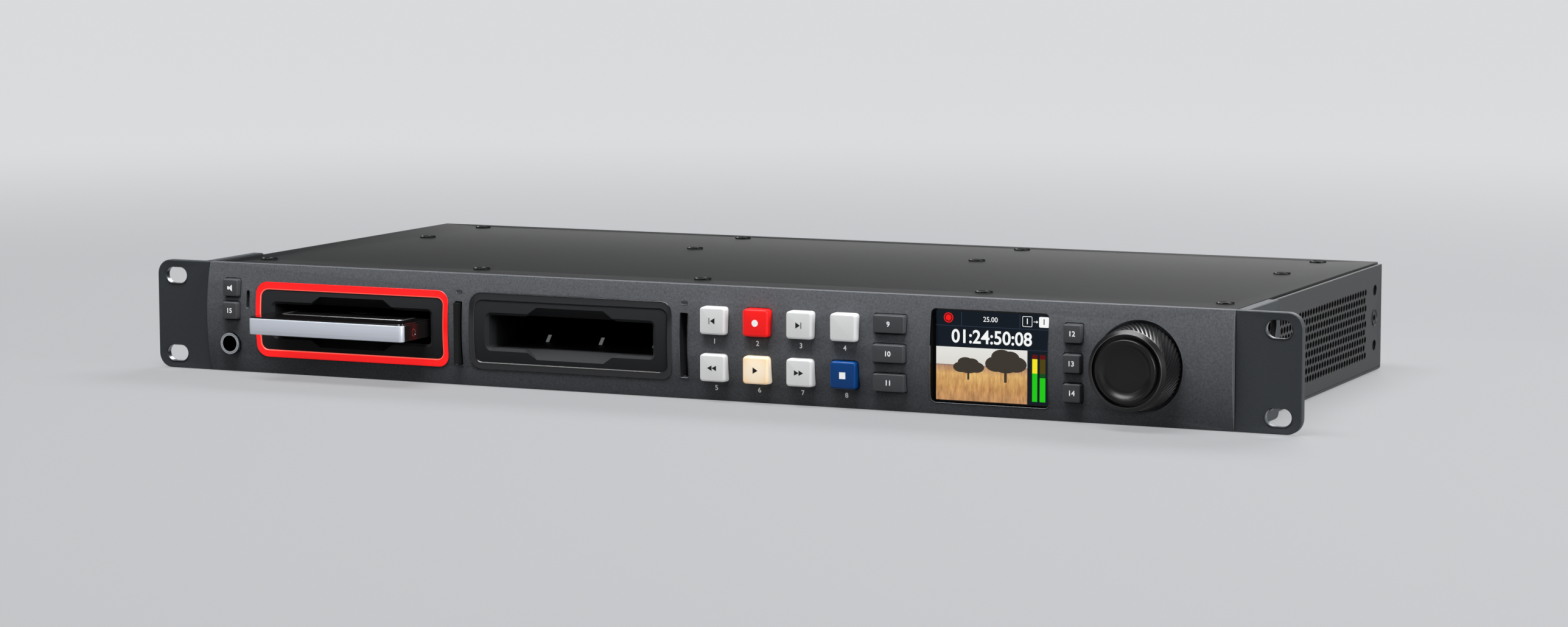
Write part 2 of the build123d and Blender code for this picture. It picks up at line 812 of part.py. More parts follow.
def knurl_solid():
    """Skirt of flat triangles between rings of points, closed at both ends."""
    rings = [knurl_ring(span / knurl_spans) for span in range(knurl_spans + 1)]
    faces = [Face(Wire.make_polygon(rings[0])), Face(Wire.make_polygon(rings[-1]))]
    for back, front in zip(rings, rings[1:]):
        for here in range(2 * knurl_count):
            there = (here + 1) % (2 * knurl_count)
            faces.append(Face(Wire.make_polygon([back[here], back[there], front[here]])))
            faces.append(Face(Wire.make_polygon([front[here], back[there], front[there]])))
    return Solid(Shell(faces))


with BuildPart() as jog_dial:
    add(knurl_solid())
    with BuildSketch(dial_side):
        with BuildLine():
            Polyline((0, dial_back_y), (collar_r, dial_back_y), (collar_r, knurl_y),
                     (0, knurl_y), close=True)
        make_face()
        with BuildLine():
            Polyline((0, dial_rim_y), (knurl_front_r, dial_rim_y),
                     (dial_ring_r, dial_ring_y), (0, dial_ring_y), close=True)
        make_face()
    revolve(axis=dial_axis)
    extrude(disc(dial_ring_y, dial_x, 0, 2 * (dial_ring_r - dial_land)),
            amount=-groove_depth, mode=Mode.SUBTRACT)
    extrude(disc(web_y, dial_x, 0, 2 * (dial_front_r - skirt_wall)),
            amount=web_y - dial_back_y, mode=Mode.SUBTRACT)
    extrude(disc(web_y, dial_x, 0, 2 * hub_r), amount=web_y - hub_y)
    extrude(disc(web_y, dial_x, 0, shaft_d + 2 * shaft_play), amount=web_y - hub_y,
            mode=Mode.SUBTRACT)
finish(jog_dial, "jog_dial")

# Dial cap: a dished disc in the groove's middle
cap_y = dial_ring_y - cap_proud
with BuildPart() as dial_cap:
    with BuildSketch(dial_side):
        with BuildLine():
            Polyline((0, cap_y + cap_dish), (0, seat_y), (cap_r, seat_y), (cap_r, cap_y),
                     (cap_r - cap_rim, cap_y), (cap_floor_r, cap_y + cap_dish), close=True)
        make_face()
    revolve(axis=dial_axis)
finish(dial_cap, "dial_cap")

# Dial shaft, and the encoder whose bushing comes through the panel
with BuildPart() as dial_shaft:
    extrude(disc(panel_back_y + shaft_depth, dial_x, 0, shaft_d),
            amount=panel_back_y + shaft_depth - web_y)
finish(dial_shaft, "dial_shaft")

with BuildPart() as dial_encoder:
    extrude(rect(board_y, dial_x, 0, encoder_w, encoder_w), amount=board_lift)
    extrude(disc(panel_back_y, dial_x, 0, 2 * bushing_r), amount=panel_back_y - bushing_y)
    extrude(disc(panel_back_y + shaft_depth + fit_gap, dial_x, 0,
                 shaft_d + 2 * shaft_play),
            amount=panel_back_y + shaft_depth + fit_gap - bushing_y, mode=Mode.SUBTRACT)
finish(dial_encoder, "dial_encoder")

# Main board on the posts of the case
main_board_z = floor_z + post_h
board_top_z = main_board_z + board_t
with BuildPart() as main_board:
    with BuildSketch(Plane.XY.offset(main_board_z)):
        with Locations(((main_board_left + main_board_right) / 2,
                        (main_board_front + main_board_back) / 2)):
            Rectangle(main_board_right - main_board_left,
                      main_board_back - main_board_front)
    extrude(amount=board_t)
finish(main_board, "main_board")

# Power supply: a closed box on the floor behind the left bay
supply_left = supply_left_gap - wall_inner_x
supply_l = rear_y - inlet_l - supply_inlet_gap - main_board_front
with BuildPart() as power_supply:
    with BuildSketch(Plane.XY.offset(floor_z)):
        with Locations((supply_left, main_board_front)):
            Rectangle(supply_w, supply_l, align=(Align.MIN, Align.MIN))
    extrude(amount=supply_h)
    chamfer(power_supply.edges().filter_by(Axis.Z), supply_edge)
finish(power_supply, "power_supply")

# Fan frame against the right side, with a fixed pin on four struts
fan_x = wall_inner_x - fan_t
fan_z = floor_z + fan_size / 2
hub_x = fan_x + fan_strut_t + fan_end_gap
hub_l = fan_t - fan_strut_t - 2 * fan_end_gap
pin_l = fan_strut_t + hub_l - fan_end_gap
with BuildPart() as fan_frame:
    with BuildSketch(Plane.YZ.offset(fan_x)):
        with Locations((fan_y, fan_z)):
            Rectangle(fan_size, fan_size)
            Circle(fan_bore_d / 2, mode=Mode.SUBTRACT)
    extrude(amount=fan_t)
    with BuildSketch(Plane.YZ.offset(fan_x)):
        with Locations((fan_y, fan_z)):
            Circle(fan_hub_d / 2)
            Rectangle(fan_bore_d + fan_strut_w, fan_strut_w, rotation=45)
            Rectangle(fan_bore_d + fan_strut_w, fan_strut_w, rotation=-45)
    extrude(amount=fan_strut_t)
    with BuildSketch(Plane.YZ.offset(fan_x)):
        with Locations((fan_y, fan_z)):
            Circle(fan_pin_d / 2)
    extrude(amount=pin_l)
finish(fan_frame, "fan_frame")

# Fan rotor: a hub on the pin, with tilted blades
blade_root = fan_hub_d / 2 - fan_blade_t
blade_tip = fan_bore_d / 2 - fan_tip_gap
with BuildPart() as fan_rotor:
    with BuildSketch(Plane.YZ.offset(hub_x)):
        with Locations((fan_y, fan_z)):
            Circle(fan_hub_d / 2)
    extrude(amount=hub_l)
    for blade in range(fan_blades):
        angle = radians(360 / fan_blades * blade)
        outward = (0, cos(angle), sin(angle))
        root = (hub_x + hub_l / 2, fan_y + blade_root * cos(angle),
                fan_z + blade_root * sin(angle))
        with BuildSketch(Plane(root, x_dir=(1, 0, 0), z_dir=outward)):
            Rectangle(fan_blade_w, fan_blade_t, rotation=fan_blade_tilt)
        extrude(amount=blade_tip - blade_root)
    with BuildSketch(Plane.YZ.offset(hub_x)):
        with Locations((fan_y, fan_z)):
            Circle(fan_pin_d / 2 + fan_pin_play)
    extrude(amount=hub_l - fan_end_gap, mode=Mode.SUBTRACT)
finish(fan_rotor, "fan_rotor")

# Rear panel: a plate between the sides, with a flange under the cover and side tabs
hdmi_z = board_top_z + hdmi_h / 2
lan_z = board_top_z + lan_h / 2
usb_z = board_top_z + usb_h / 2
bnc_x = [bnc_x0 + number * bnc_pitch for number in range(bnc_count)]
with BuildPart() as rear_panel:
    extrude(rect(rear_y, 0, (floor_z + cover_under_z) / 2, 2 * wall_inner_x,
                 cover_under_z - floor_z), amount=sheet_t)
    extrude(rect(rear_panel_y, 0, cover_under_z - sheet_t / 2, 2 * rail_end_x, sheet_t),
            amount=rear_flange_l)
    for side in (-1, 1):
        extrude(rect(rear_panel_y, side * (wall_inner_x - sheet_t / 2), 0, sheet_t,
                     side_tab_h), amount=side_tab_l)
    with BuildSketch(facing(rear_y)):
        with Locations([(x, bnc_z) for x in bnc_x]):
            Circle(bnc_d / 2 + fit_gap)
        with Locations([(x, hdmi_z) for x in hdmi_x]):
            Rectangle(hdmi_w + 2 * socket_fit, hdmi_h + 2 * socket_fit)
        with Locations((lan_x, lan_z)):
            Rectangle(lan_w + 2 * socket_fit, lan_h + 2 * socket_fit)
        with Locations((usb_x, usb_z)):
            Rectangle(usb_w + 2 * socket_fit, usb_h + 2 * socket_fit)
        with Locations((remote_x, remote_z)):
            Rectangle(remote_w + 2 * socket_fit, remote_h + 2 * socket_fit)
        with Locations((inlet_x, inlet_z)):
            Rectangle(inlet_w + 2 * socket_fit, inlet_h + 2 * socket_fit)
    extrude(amount=sheet_t, mode=Mode.SUBTRACT)
finish(rear_panel, "rear_panel")

# Coaxial sockets in a row, each with a six-sided nut on the rear panel
with BuildPart() as bnc_connectors:
    for x in bnc_x:
        extrude(disc(rear_y + bnc_proud, x, bnc_z, bnc_d), amount=bnc_proud + sheet_t)
        extrude(rect(rear_panel_y, x, bnc_z, bnc_inside_w, bnc_inside_w), amount=bnc_inside)
        extrude(disc(rear_y + bnc_proud, x, bnc_z, bnc_bore_d), amount=bnc_bore_depth,
                mode=Mode.SUBTRACT)
        extrude(disc(rear_y + bnc_proud - bnc_bore_depth, x, bnc_z, bnc_core_d),
                amount=bnc_core_sink - bnc_bore_depth)
        with BuildSketch(facing(rear_y)):
            with Locations((x, bnc_z)):
                RegularPolygon(bnc_nut_w / 2, 6, major_radius=False)
        extrude(amount=-bnc_nut_t)
finish(bnc_connectors, "bnc_connectors")


def board_socket(x, z, width, height, length, wall, depth, tongue_width, tongue_height):
    """Metal socket on the main board, open to the rear, with a tongue inside."""
    mouth_y = rear_y + socket_proud
    extrude(rect(mouth_y, x, z, width, height), amount=length)
    extrude(rect(mouth_y, x, z, width - 2 * wall, height - 2 * wall), amount=depth,
            mode=Mode.SUBTRACT)
    extrude(rect(mouth_y - wall, x, z, tongue_width, tongue_height), amount=depth - wall)


with BuildPart() as hdmi_sockets:
    for x in hdmi_x:
        board_socket(x, hdmi_z, hdmi_w, hdmi_h, hdmi_l, hdmi_wall, hdmi_depth,
                     hdmi_tongue_w, hdmi_tongue_t)
finish(hdmi_sockets, "hdmi_sockets")

with BuildPart() as usb_socket:
    board_socket(usb_x, usb_z, usb_w, usb_h, usb_l, usb_wall, usb_depth, usb_tongue_w,
                 usb_tongue_t)
finish(usb_socket, "usb_socket")

# Network socket with its latch notch
with BuildPart() as lan_socket:
    lan_mouth_y = rear_y + socket_proud
    extrude(rect(lan_mouth_y, lan_x, lan_z, lan_w, lan_h), amount=lan_l)
    extrude(rect(lan_mouth_y, lan_x, lan_z, lan_mouth_w, lan_mouth_h),
            amount=lan_mouth_depth, mode=Mode.SUBTRACT)
    extrude(rect(lan_mouth_y, lan_x, lan_z - lan_mouth_h / 2, lan_latch_w,
                 2 * lan_latch_h), amount=lan_mouth_depth, mode=Mode.SUBTRACT)
finish(lan_socket, "lan_socket")

# Nine-way remote port: a flange on the panel and a slanted shell
with BuildPart() as remote_port:
    extrude(rect(rear_y, remote_x, remote_z, remote_flange_w, remote_flange_h),
            amount=-remote_flange_t)
    with BuildSketch(facing(rear_y + remote_proud)) as shell:
        with BuildLine():
            Polyline((remote_x - remote_w / 2, remote_z + remote_h / 2),
                     (remote_x + remote_w / 2, remote_z + remote_h / 2),
                     (remote_x + remote_w / 2 - remote_slant, remote_z - remote_h / 2),
                     (remote_x - remote_w / 2 + remote_slant, remote_z - remote_h / 2),
                     close=True)
        make_face()
        fillet(shell.vertices(), remote_r)
    extrude(amount=remote_proud + sheet_t + remote_inside)
finish(remote_port, "remote_port")

# Power inlet with three blades
inlet_mouth_y = rear_y + inlet_flange_t
with BuildPart() as power_inlet:
    extrude(round_rect(rear_y, inlet_x, inlet_z, inlet_flange_w, inlet_flange_h,
                       inlet_flange_r), amount=-inlet_flange_t)
    extrude(rect(rear_y, inlet_x, inlet_z, inlet_w, inlet_h), amount=inlet_l)
    with BuildSketch(facing(inlet_mouth_y)) as mouth:
        with Locations((inlet_x, inlet_z)):
            Rectangle(inlet_mouth_w, inlet_mouth_h)
        chamfer(mouth.vertices().group_by(Axis.Y)[-1], inlet_mouth_cut)
    extrude(amount=inlet_mouth_depth, mode=Mode.SUBTRACT)
    for across, up in ((-inlet_pin_gap / 2, -inlet_pin_step / 2),
                       (0, inlet_pin_step / 2),
                       (inlet_pin_gap / 2, -inlet_pin_step / 2)):
        extrude(rect(inlet_mouth_y - inlet_mouth_depth, inlet_x + across, inlet_z + up,
                     inlet_pin_w, inlet_pin_h), amount=-inlet_pin_l)
finish(power_inlet, "power_inlet")
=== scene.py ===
import json
from math import asin, cos, pi, radians, sin, sqrt

import bmesh
import bpy
from mathutils import Matrix, Vector


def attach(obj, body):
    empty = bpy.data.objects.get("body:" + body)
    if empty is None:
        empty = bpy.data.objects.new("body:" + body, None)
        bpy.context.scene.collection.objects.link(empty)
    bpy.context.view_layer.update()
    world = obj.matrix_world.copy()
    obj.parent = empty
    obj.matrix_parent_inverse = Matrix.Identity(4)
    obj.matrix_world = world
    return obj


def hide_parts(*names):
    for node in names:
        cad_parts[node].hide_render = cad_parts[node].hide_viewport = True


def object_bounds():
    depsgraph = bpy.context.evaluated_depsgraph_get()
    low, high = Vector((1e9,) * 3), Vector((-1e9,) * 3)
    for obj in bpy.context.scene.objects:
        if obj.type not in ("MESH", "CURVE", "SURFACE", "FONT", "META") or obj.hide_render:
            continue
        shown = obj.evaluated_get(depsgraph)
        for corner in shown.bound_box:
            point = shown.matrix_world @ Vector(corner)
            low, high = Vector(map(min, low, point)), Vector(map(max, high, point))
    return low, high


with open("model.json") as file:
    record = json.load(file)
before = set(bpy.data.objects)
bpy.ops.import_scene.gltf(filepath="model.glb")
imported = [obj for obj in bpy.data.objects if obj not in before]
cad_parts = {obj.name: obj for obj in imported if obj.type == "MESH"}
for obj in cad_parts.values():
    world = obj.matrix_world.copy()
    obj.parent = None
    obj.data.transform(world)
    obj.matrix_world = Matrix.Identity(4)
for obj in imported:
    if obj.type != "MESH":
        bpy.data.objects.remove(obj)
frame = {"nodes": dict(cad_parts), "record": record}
cad_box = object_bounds()

# Camera
# The view from a little above the right end of the recorder, 1.5 m away, in a long lens.
# The camera's place and turns are in metres and degrees.
camera_place = (0.6347, -1.3108, 0.1776)
camera_turn, camera_tilt, camera_roll = 24.502, 6.549, -0.095
camera = bpy.data.objects.new("camera", bpy.data.cameras.new("camera"))
bpy.context.collection.objects.link(camera)
camera.data.sensor_width = 36.0
camera.data.lens = 88.08
camera.data.clip_start = 0.05
camera.data.clip_end = 80.0
camera.matrix_world = (Matrix.Translation(camera_place)
                       @ Matrix.Rotation(radians(camera_turn), 4, "Z")
                       @ Matrix.Rotation(radians(90 - camera_tilt), 4, "X")
                       @ Matrix.Rotation(radians(camera_roll), 4, "Z"))
bpy.context.scene.camera = camera

# Studio
# A floor and a room that look pale and throw little light back, and five soft lamps: high
# over the front, weak at the front left, a thin strip close behind the cover, a large one
# behind, and one for the vented right side. Sizes here are in metres.
pale_grey = "d9dadc"
floor_reach, floor_y, floor_gap = 14.0, 3.0, 0.0002
fade_start, fade_end = 0.45, 1.5
horizon_low, horizon_high, sky_level = 0.029, 0.036, 0.04
all_finishes = {}


def tone(code):
    """Colour of a finish from its sRGB hex code."""
    parts = [int(code[at:at + 2], 16) / 255 for at in (0, 2, 4)]
    return (*[part / 12.92 if part <= 0.04045 else ((part + 0.055) / 1.055) ** 2.4
              for part in parts], 1.0)


def shader_of(finish):
    """The shader of a finish."""
    return finish.node_tree.nodes["Principled BSDF"]


def new_finish(name, color, roughness, metallic=0.0, specular=0.5):
    """A plain finish, the same all over."""
    finish = bpy.data.materials.new(name)
    finish.use_nodes = True
    shader = shader_of(finish)
    shader.inputs["Base Color"].default_value = tone(color)
    shader.inputs["Roughness"].default_value = roughness
    shader.inputs["Metallic"].default_value = metallic
    shader.inputs["Specular IOR Level"].default_value = specular
    all_finishes[name] = finish
    return finish


def add_node(tree, kind, values=None, **settings):
    """Add a shader node with its settings and the values of its inputs."""
    node = tree.nodes.new("ShaderNode" + kind)
    for name, setting in settings.items():
        setattr(node, name, setting)
    for name, value in (values or {}).items():
        node.inputs[name].default_value = value
    return node


def join_nodes(tree, links):
    """Link nodes: each link is a node, its output, the next node and its input."""
    for source, output, target, slot_name in links:
        tree.links.new(source.outputs[output], target.inputs[slot_name])


def add_fade(tree, start, end, start_value=0.0, end_value=1.0, kind="SMOOTHSTEP"):
    """Add a node that goes from one value to another while its input goes from start to end."""
    return add_node(tree, "MapRange", {"From Min": start, "From Max": end,
                                       "To Min": start_value, "To Max": end_value},
                    interpolation_type=kind)


def show_pale(tree, dark_level, pale_code):
    """Add a colour that is pale to sight and in gloss, and throws little light."""
    sight = add_node(tree, "LightPath")
    mirrored = add_node(tree, "Math", operation="MAXIMUM")
    seen = add_node(tree, "Math", operation="MAXIMUM")
    shade = add_node(tree, "Mix", {"A": (dark_level, dark_level, dark_level, 1),
                                   "B": tone(pale_code)}, data_type="RGBA")
    join_nodes(tree, ((sight, "Is Glossy Ray", mirrored, 0),
                      (sight, "Is Transmission Ray", mirrored, 1),
                      (sight, "Is Camera Ray", seen, 0), (mirrored, 0, seen, 1),
                      (seen, 0, shade, "Factor")))
    return shade


floor_finish = new_finish("studio_floor", pale_grey, 0.85, specular=0.1)
tree, shader = floor_finish.node_tree, shader_of(floor_finish)
paint = show_pale(tree, 0.03, "4a4b4d")
light = show_pale(tree, 0.0, pale_grey)
spot = add_node(tree, "TexCoord")
reach = add_node(tree, "VectorMath", operation="LENGTH")
under = add_node(tree, "VectorMath", operation="SCALE")
join_nodes(tree, ((spot, "Object", reach, 0), (paint, "Result", under, 0),
                  (under, 0, shader, "Base Color"), (light, "Result", shader, "Emission Color")))
for near_value, far_value, target, slot_name in ((0.51, 1.0, shader, "Emission Strength"),
                                                 (1.0, 0.0, under, "Scale")):
    fade = add_fade(tree, fade_start, fade_end, near_value, far_value)
    join_nodes(tree, ((reach, "Value", fade, "Value"), (fade, "Result", target, slot_name)))
bm = bmesh.new()
bmesh.ops.create_grid(bm, x_segments=1, y_segments=1, size=floor_reach,
                      matrix=Matrix.Translation((0, floor_y, cad_box[0].z - floor_gap)))
floor_mesh = bpy.data.meshes.new("studio_floor")
bm.to_mesh(floor_mesh)
bm.free()
studio_floor = bpy.data.objects.new("studio_floor", floor_mesh)
floor_mesh.materials.append(floor_finish)
bpy.context.collection.objects.link(studio_floor)

# The room is pale at the horizon and dark from just above it, so that the front and the
# cover don't mirror a bright sky.
room = bpy.data.worlds.new("studio_room")
room.use_nodes = True
tree = room.node_tree
shade = show_pale(tree, 0.03, pale_grey)
way = add_node(tree, "TexCoord")
parts = add_node(tree, "SeparateXYZ")
backdrop = add_fade(tree, horizon_low, horizon_high, 1.0, sky_level)
sky = add_node(tree, "VectorMath", {0: tone(pale_grey)[:3]}, operation="SCALE")
join_nodes(tree, ((way, "Generated", parts, 0), (parts, "Z", backdrop, "Value"),
                  (backdrop, "Result", sky, "Scale"), (sky, 0, shade, "B"),
                  (shade, "Result", tree.nodes["Background"], "Color")))
bpy.context.scene.world = room

for name, place, target, width, height, power, roll in (
        ("lamp_high", (-0.15, -0.42, 1.5), (0.0, 0.0, 0.0), 1.3, 0.5, 47.0, 0.0),
        ("lamp_front", (-0.75, -1.40, 0.95), (0.0, 0.0, 0.0), 1.3, 0.45, 4.0, 0.0),
        ("lamp_strip", (0.0, 0.32, 0.033), (0.0, 0.0, 0.033), 1.0, 0.014, 0.06, -0.3),
        ("lamp_back", (0.3, 1.5, 1.35), (0.0, 0.1, 0.0), 1.6, 0.6, 55.0, 0.0),
        ("lamp_right", (1.45, -0.2, 0.42), (0.2, 0.05, 0.0), 0.6, 0.6, 20.0, 0.0)):
    lamp = bpy.data.objects.new(name, bpy.data.lights.new(name, "AREA"))
    lamp.data.shape = "RECTANGLE"
    lamp.data.size = width
    lamp.data.size_y = height
    lamp.data.energy = power
    aim = Vector(target) - Vector(place)
    lamp.matrix_world = (Matrix.Translation(place)
                         @ aim.to_track_quat("-Z", "Y").to_matrix().to_4x4()
                         @ Matrix.Rotation(radians(roll), 4, "Z"))
    lamp.visible_camera = False
    bpy.context.collection.objects.link(lamp)

bpy.context.scene.view_settings.view_transform = "Standard"

# Front panel
# A convex aluminium moulding with metallic grey paint that sparkles a little. Every
# opening in it has a fine bevelled edge, and the walls of the screen's pocket are gloss
# black. From here on shapes are drawn in millimetres, and finishes read metres.
half_height = 22.0
panel_width = 432.4
panel_bulge = 3.0
panel_crown_y = -6.0
panel_arc_r = (half_height ** 2 + panel_bulge ** 2) / (2 * panel_bulge)
bend_step = 0.5
rear_mark = 100.0
smooth_angle = radians(32)

bay_x, bay_width, bay_height, bay_corner = (-149.15, -51.5), 88.3, 30.4, 4.9
card_x, card_z, card_width, card_height = (-100.45, -2.3), -1.3, 3.6, 25.2
lens_x, lens_z, lens_width, lens_height = (-100.35, -2.35), 15.0, 3.0, 1.45
status_x, status_z, status_width, status_height = -197.0, 7.7, 1.65, 7.5
jack_x, jack_z, jack_opening = -205.35, -10.4, 9.6
screen_x, screen_width, screen_height = 122.4, 46.9, 35.2
dial_x, dial_opening = 180.8, 34.0

large_keys = ("key_skip_back", "key_record", "key_skip_forward", "key_input", "key_rewind",
              "key_play", "key_fast_forward", "key_stop")
key_gap = 0.7
large_x, large_z, large_pitch, large_size = 11.0, 9.0, 18.0, 10.6
menu_x, menu_pitch, menu_width, menu_height = 83.1, 11.0, 13.0, 7.1
mode_x, mode_pitch = 155.6, 10.9
left_x, mute_z, remote_z = -204.3, 12.2, 3.05
small_size = 7.2
key_places = {name: (large_x + large_pitch * (number % 4), large_z - large_pitch * (number // 4),
                     large_size, large_size) for number, name in enumerate(large_keys)}
for row, name in enumerate(("key_search", "key_menu", "key_set")):
    key_places[name] = (menu_x, menu_pitch - menu_pitch * row, menu_width, menu_height)
for row, name in enumerate(("key_shuttle", "key_jog", "key_scroll")):
    key_places[name] = (mode_x, mode_pitch - mode_pitch * row, small_size, small_size)
key_places["key_mute"] = (left_x, mute_z, small_size, small_size)
key_places["key_remote"] = (left_x, remote_z, small_size, small_size)


def front_y(z):
    """Depth of the convex front at height z."""
    return panel_crown_y + panel_arc_r - sqrt(panel_arc_r ** 2 - z ** 2)


def facing(x, z, y=0.0):
    """Place on a plane that faces the viewer."""
    return Matrix.Translation((x, y, z)) @ Matrix.Rotation(radians(90), 4, "X")


def bar(bm, x, z, y, width, height):
    """A plain rectangle that faces the viewer."""
    made = bmesh.ops.create_grid(bm, x_segments=1, y_segments=1, size=0.5,
                                 matrix=facing(x, z, y) @ Matrix.Diagonal((width, height, 1, 1)))
    return made["verts"][0].link_faces[0]


def round_off(bm, geom, radius, steps, affect="VERTICES"):
    """Round the corners of an outline, or edges, and give back the new vertices."""
    made = bmesh.ops.bevel(bm, geom=geom, offset=radius, offset_type="OFFSET", segments=steps,
                           profile=0.5, affect=affect, material=-1)
    return made["verts"]


def outline(bm, x, z, width, height, radius, y=0.0, steps=5, side=0):
    """A rounded rectangle that faces the viewer, or one rounded only at one side."""
    corners = [vert for vert in bar(bm, x, z, y, width, height).verts
               if (vert.co.x - x) * side >= 0]
    return round_off(bm, corners, radius, steps)[0].link_faces[0]


def round_outline(bm, x, z, diameter, y=0.0, sides=48):
    """A circle, or a polygon with fewer sides, that faces the viewer."""
    made = bmesh.ops.create_circle(bm, cap_ends=True, segments=sides, radius=diameter / 2,
                                   matrix=facing(x, z, y))
    return made["verts"][0].link_faces[0]


def sheet_with_openings(bm, border, openings, border_edge, lines=()):
    """Fill a drawn border round drawn openings, give both bevelled edges and walls back
    to a flat rear face. Lines across the sheet let it follow a curve."""
    bmesh.ops.translate(bm, verts=list(border.verts), vec=(0, border_edge, 0))
    bmesh.ops.inset_individual(bm, faces=[border], thickness=border_edge, depth=border_edge)
    loops = list(border.edges)
    for face, edge in openings:
        loops += list(face.edges)
        bmesh.ops.inset_individual(bm, faces=[face], thickness=edge, depth=-edge)
    bmesh.ops.delete(bm, geom=[border] + [face for face, edge in openings],
                     context="FACES_ONLY")
    bmesh.ops.triangle_fill(bm, use_beauty=True, use_dissolve=False, edges=loops,
                            normal=(0, -1, 0))
    for z in lines:
        bmesh.ops.bisect_plane(bm, geom=bm.verts[:] + bm.edges[:] + bm.faces[:], dist=1e-4,
                               plane_co=(0, 0, z), plane_no=(0, 0, 1))
    walls = bmesh.ops.extrude_edge_only(bm, edges=[edge for edge in bm.edges if edge.is_boundary])
    rear = [item for item in walls["geom"] if isinstance(item, bmesh.types.BMVert)]
    for vert in rear:
        vert.co.y = rear_mark
    bmesh.ops.triangle_fill(bm, use_beauty=True, use_dissolve=False, normal=(0, 1, 0),
                            edges=[edge for edge in bm.edges if edge.is_boundary])


def set_rear(bm, thickness):
    """Put the rear face of a flat sheet at its thickness."""
    for vert in bm.verts:
        if vert.co.y > rear_mark / 2:
            vert.co.y = thickness


def lay_on_front(bm, sink, rear_y):
    """Bend a flat sheet to the convex front, and put its rear face at rear_y."""
    for vert in bm.verts:
        if vert.co.y > rear_mark / 2:
            vert.co.y = rear_y
        else:
            vert.co.y += front_y(vert.co.z) + sink


def make_piece(bm, name, finishes, body, stands_for=(), turn=True):
    """Turn a shape drawn in millimetres into a piece that rides on its body."""
    bmesh.ops.remove_doubles(bm, verts=bm.verts[:], dist=1e-4)
    if turn:
        bmesh.ops.recalc_face_normals(bm, faces=bm.faces[:])
    bmesh.ops.scale(bm, vec=(0.001, 0.001, 0.001), verts=bm.verts[:])
    for face in bm.faces:
        face.smooth = True
    for edge in bm.edges:
        edge.smooth = len(edge.link_faces) == 2 and edge.calc_face_angle() < smooth_angle
    mesh = bpy.data.meshes.new(name)
    bm.to_mesh(mesh)
    bm.free()
    piece = bpy.data.objects.new(name, mesh)
    bpy.context.collection.objects.link(piece)
    for finish in finishes:
        mesh.materials.append(finish)
    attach(piece, body)
    if stands_for:
        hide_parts(*stands_for)
    return piece


def shade_as_curved(piece, sink):
    """Give the faces that lie on the convex front the true slope of its curve."""
    mesh = piece.data
    slopes = [corner.vector.copy() for corner in mesh.corner_normals]
    for face in mesh.polygons:
        if face.normal.y < -0.9:
            for corner in face.loop_indices:
                place = 1000 * mesh.vertices[mesh.loops[corner].vertex_index].co
                if abs(place.y - front_y(place.z) - sink) < 0.01:
                    lean = place.z / panel_arc_r
                    slopes[corner] = Vector((0, -sqrt(1 - lean ** 2), lean))
    mesh.normals_split_custom_set(slopes)


grain = bpy.data.node_groups.new("surface_grain", "ShaderNodeTree")
for in_out, sockets in (
        ("INPUT", (("Color", "Color"), ("Grain Scale", "Float"), ("Contrast", "Float"),
                   ("Blotch", "Float"), ("Roughness", "Float"), ("Relief", "Float"))),
        ("OUTPUT", (("Color", "Color"), ("Roughness", "Float"), ("Normal", "Vector")))):
    for label, kind in sockets:
        grain.interface.new_socket(name=label, in_out=in_out, socket_type="NodeSocket" + kind)
entry = grain.nodes.new("NodeGroupInput")
leave = grain.nodes.new("NodeGroupOutput")
where = add_node(grain, "TexCoord")
fine = add_node(grain, "TexNoise", {"Detail": 3.0})
broad = add_node(grain, "TexNoise", {"Scale": 22.0})
fine_middle = add_node(grain, "Math", {1: 0.5}, operation="SUBTRACT")
broad_middle = add_node(grain, "Math", {1: 0.5}, operation="SUBTRACT")
fine_part = add_node(grain, "Math", {2: 1.0}, operation="MULTIPLY_ADD")
both = add_node(grain, "Math", operation="MULTIPLY_ADD")
tint = add_node(grain, "VectorMath", operation="SCALE")
rough = add_node(grain, "Math", operation="MULTIPLY", use_clamp=True)
relief = add_node(grain, "Bump", {"Strength": 1.0})
join_nodes(grain, (
    (where, "Object", fine, "Vector"), (where, "Object", broad, "Vector"),
    (entry, "Grain Scale", fine, "Scale"), (fine, "Fac", fine_middle, 0),
    (broad, "Fac", broad_middle, 0), (fine_middle, 0, fine_part, 0),
    (entry, "Contrast", fine_part, 1), (broad_middle, 0, both, 0),
    (entry, "Blotch", both, 1), (fine_part, 0, both, 2),
    (entry, "Color", tint, 0), (both, 0, tint, "Scale"),
    (entry, "Roughness", rough, 0), (both, 0, rough, 1),
    (fine, "Fac", relief, "Height"), (entry, "Relief", relief, "Distance"),
    (tint, 0, leave, "Color"), (rough, 0, leave, "Roughness"),
    (relief, "Normal", leave, "Normal")))


def grained(name, color, roughness, scale, contrast, blotch, relief_height, metallic=0.0,
            specular=0.3, even_gloss=False):
    """A finish with fine grain in its colour, relief and, unless it is even, its gloss."""
    finish = new_finish(name, color, roughness, metallic, specular)
    group = add_node(finish.node_tree, "Group", {
        "Color": tone(color), "Grain Scale": scale, "Contrast": contrast, "Blotch": blotch,
        "Roughness": roughness, "Relief": relief_height}, node_tree=grain)
    links = [(group, "Color", shader_of(finish), "Base Color"),
             (group, "Normal", shader_of(finish), "Normal")]
    if not even_gloss:
        links.append((group, "Roughness", shader_of(finish), "Roughness"))
    join_nodes(finish.node_tree, links)
    return finish


panel_paint = grained("panel_paint", "595b5f", 0.36, 1500.0, 1.0, 0.05, 0.00002, metallic=0.1,
                      specular=0.08)
pocket_gloss = grained("pocket_gloss", "0d0e0f", 0.09, 900.0, 0.05, 0.02, 0.0000005)

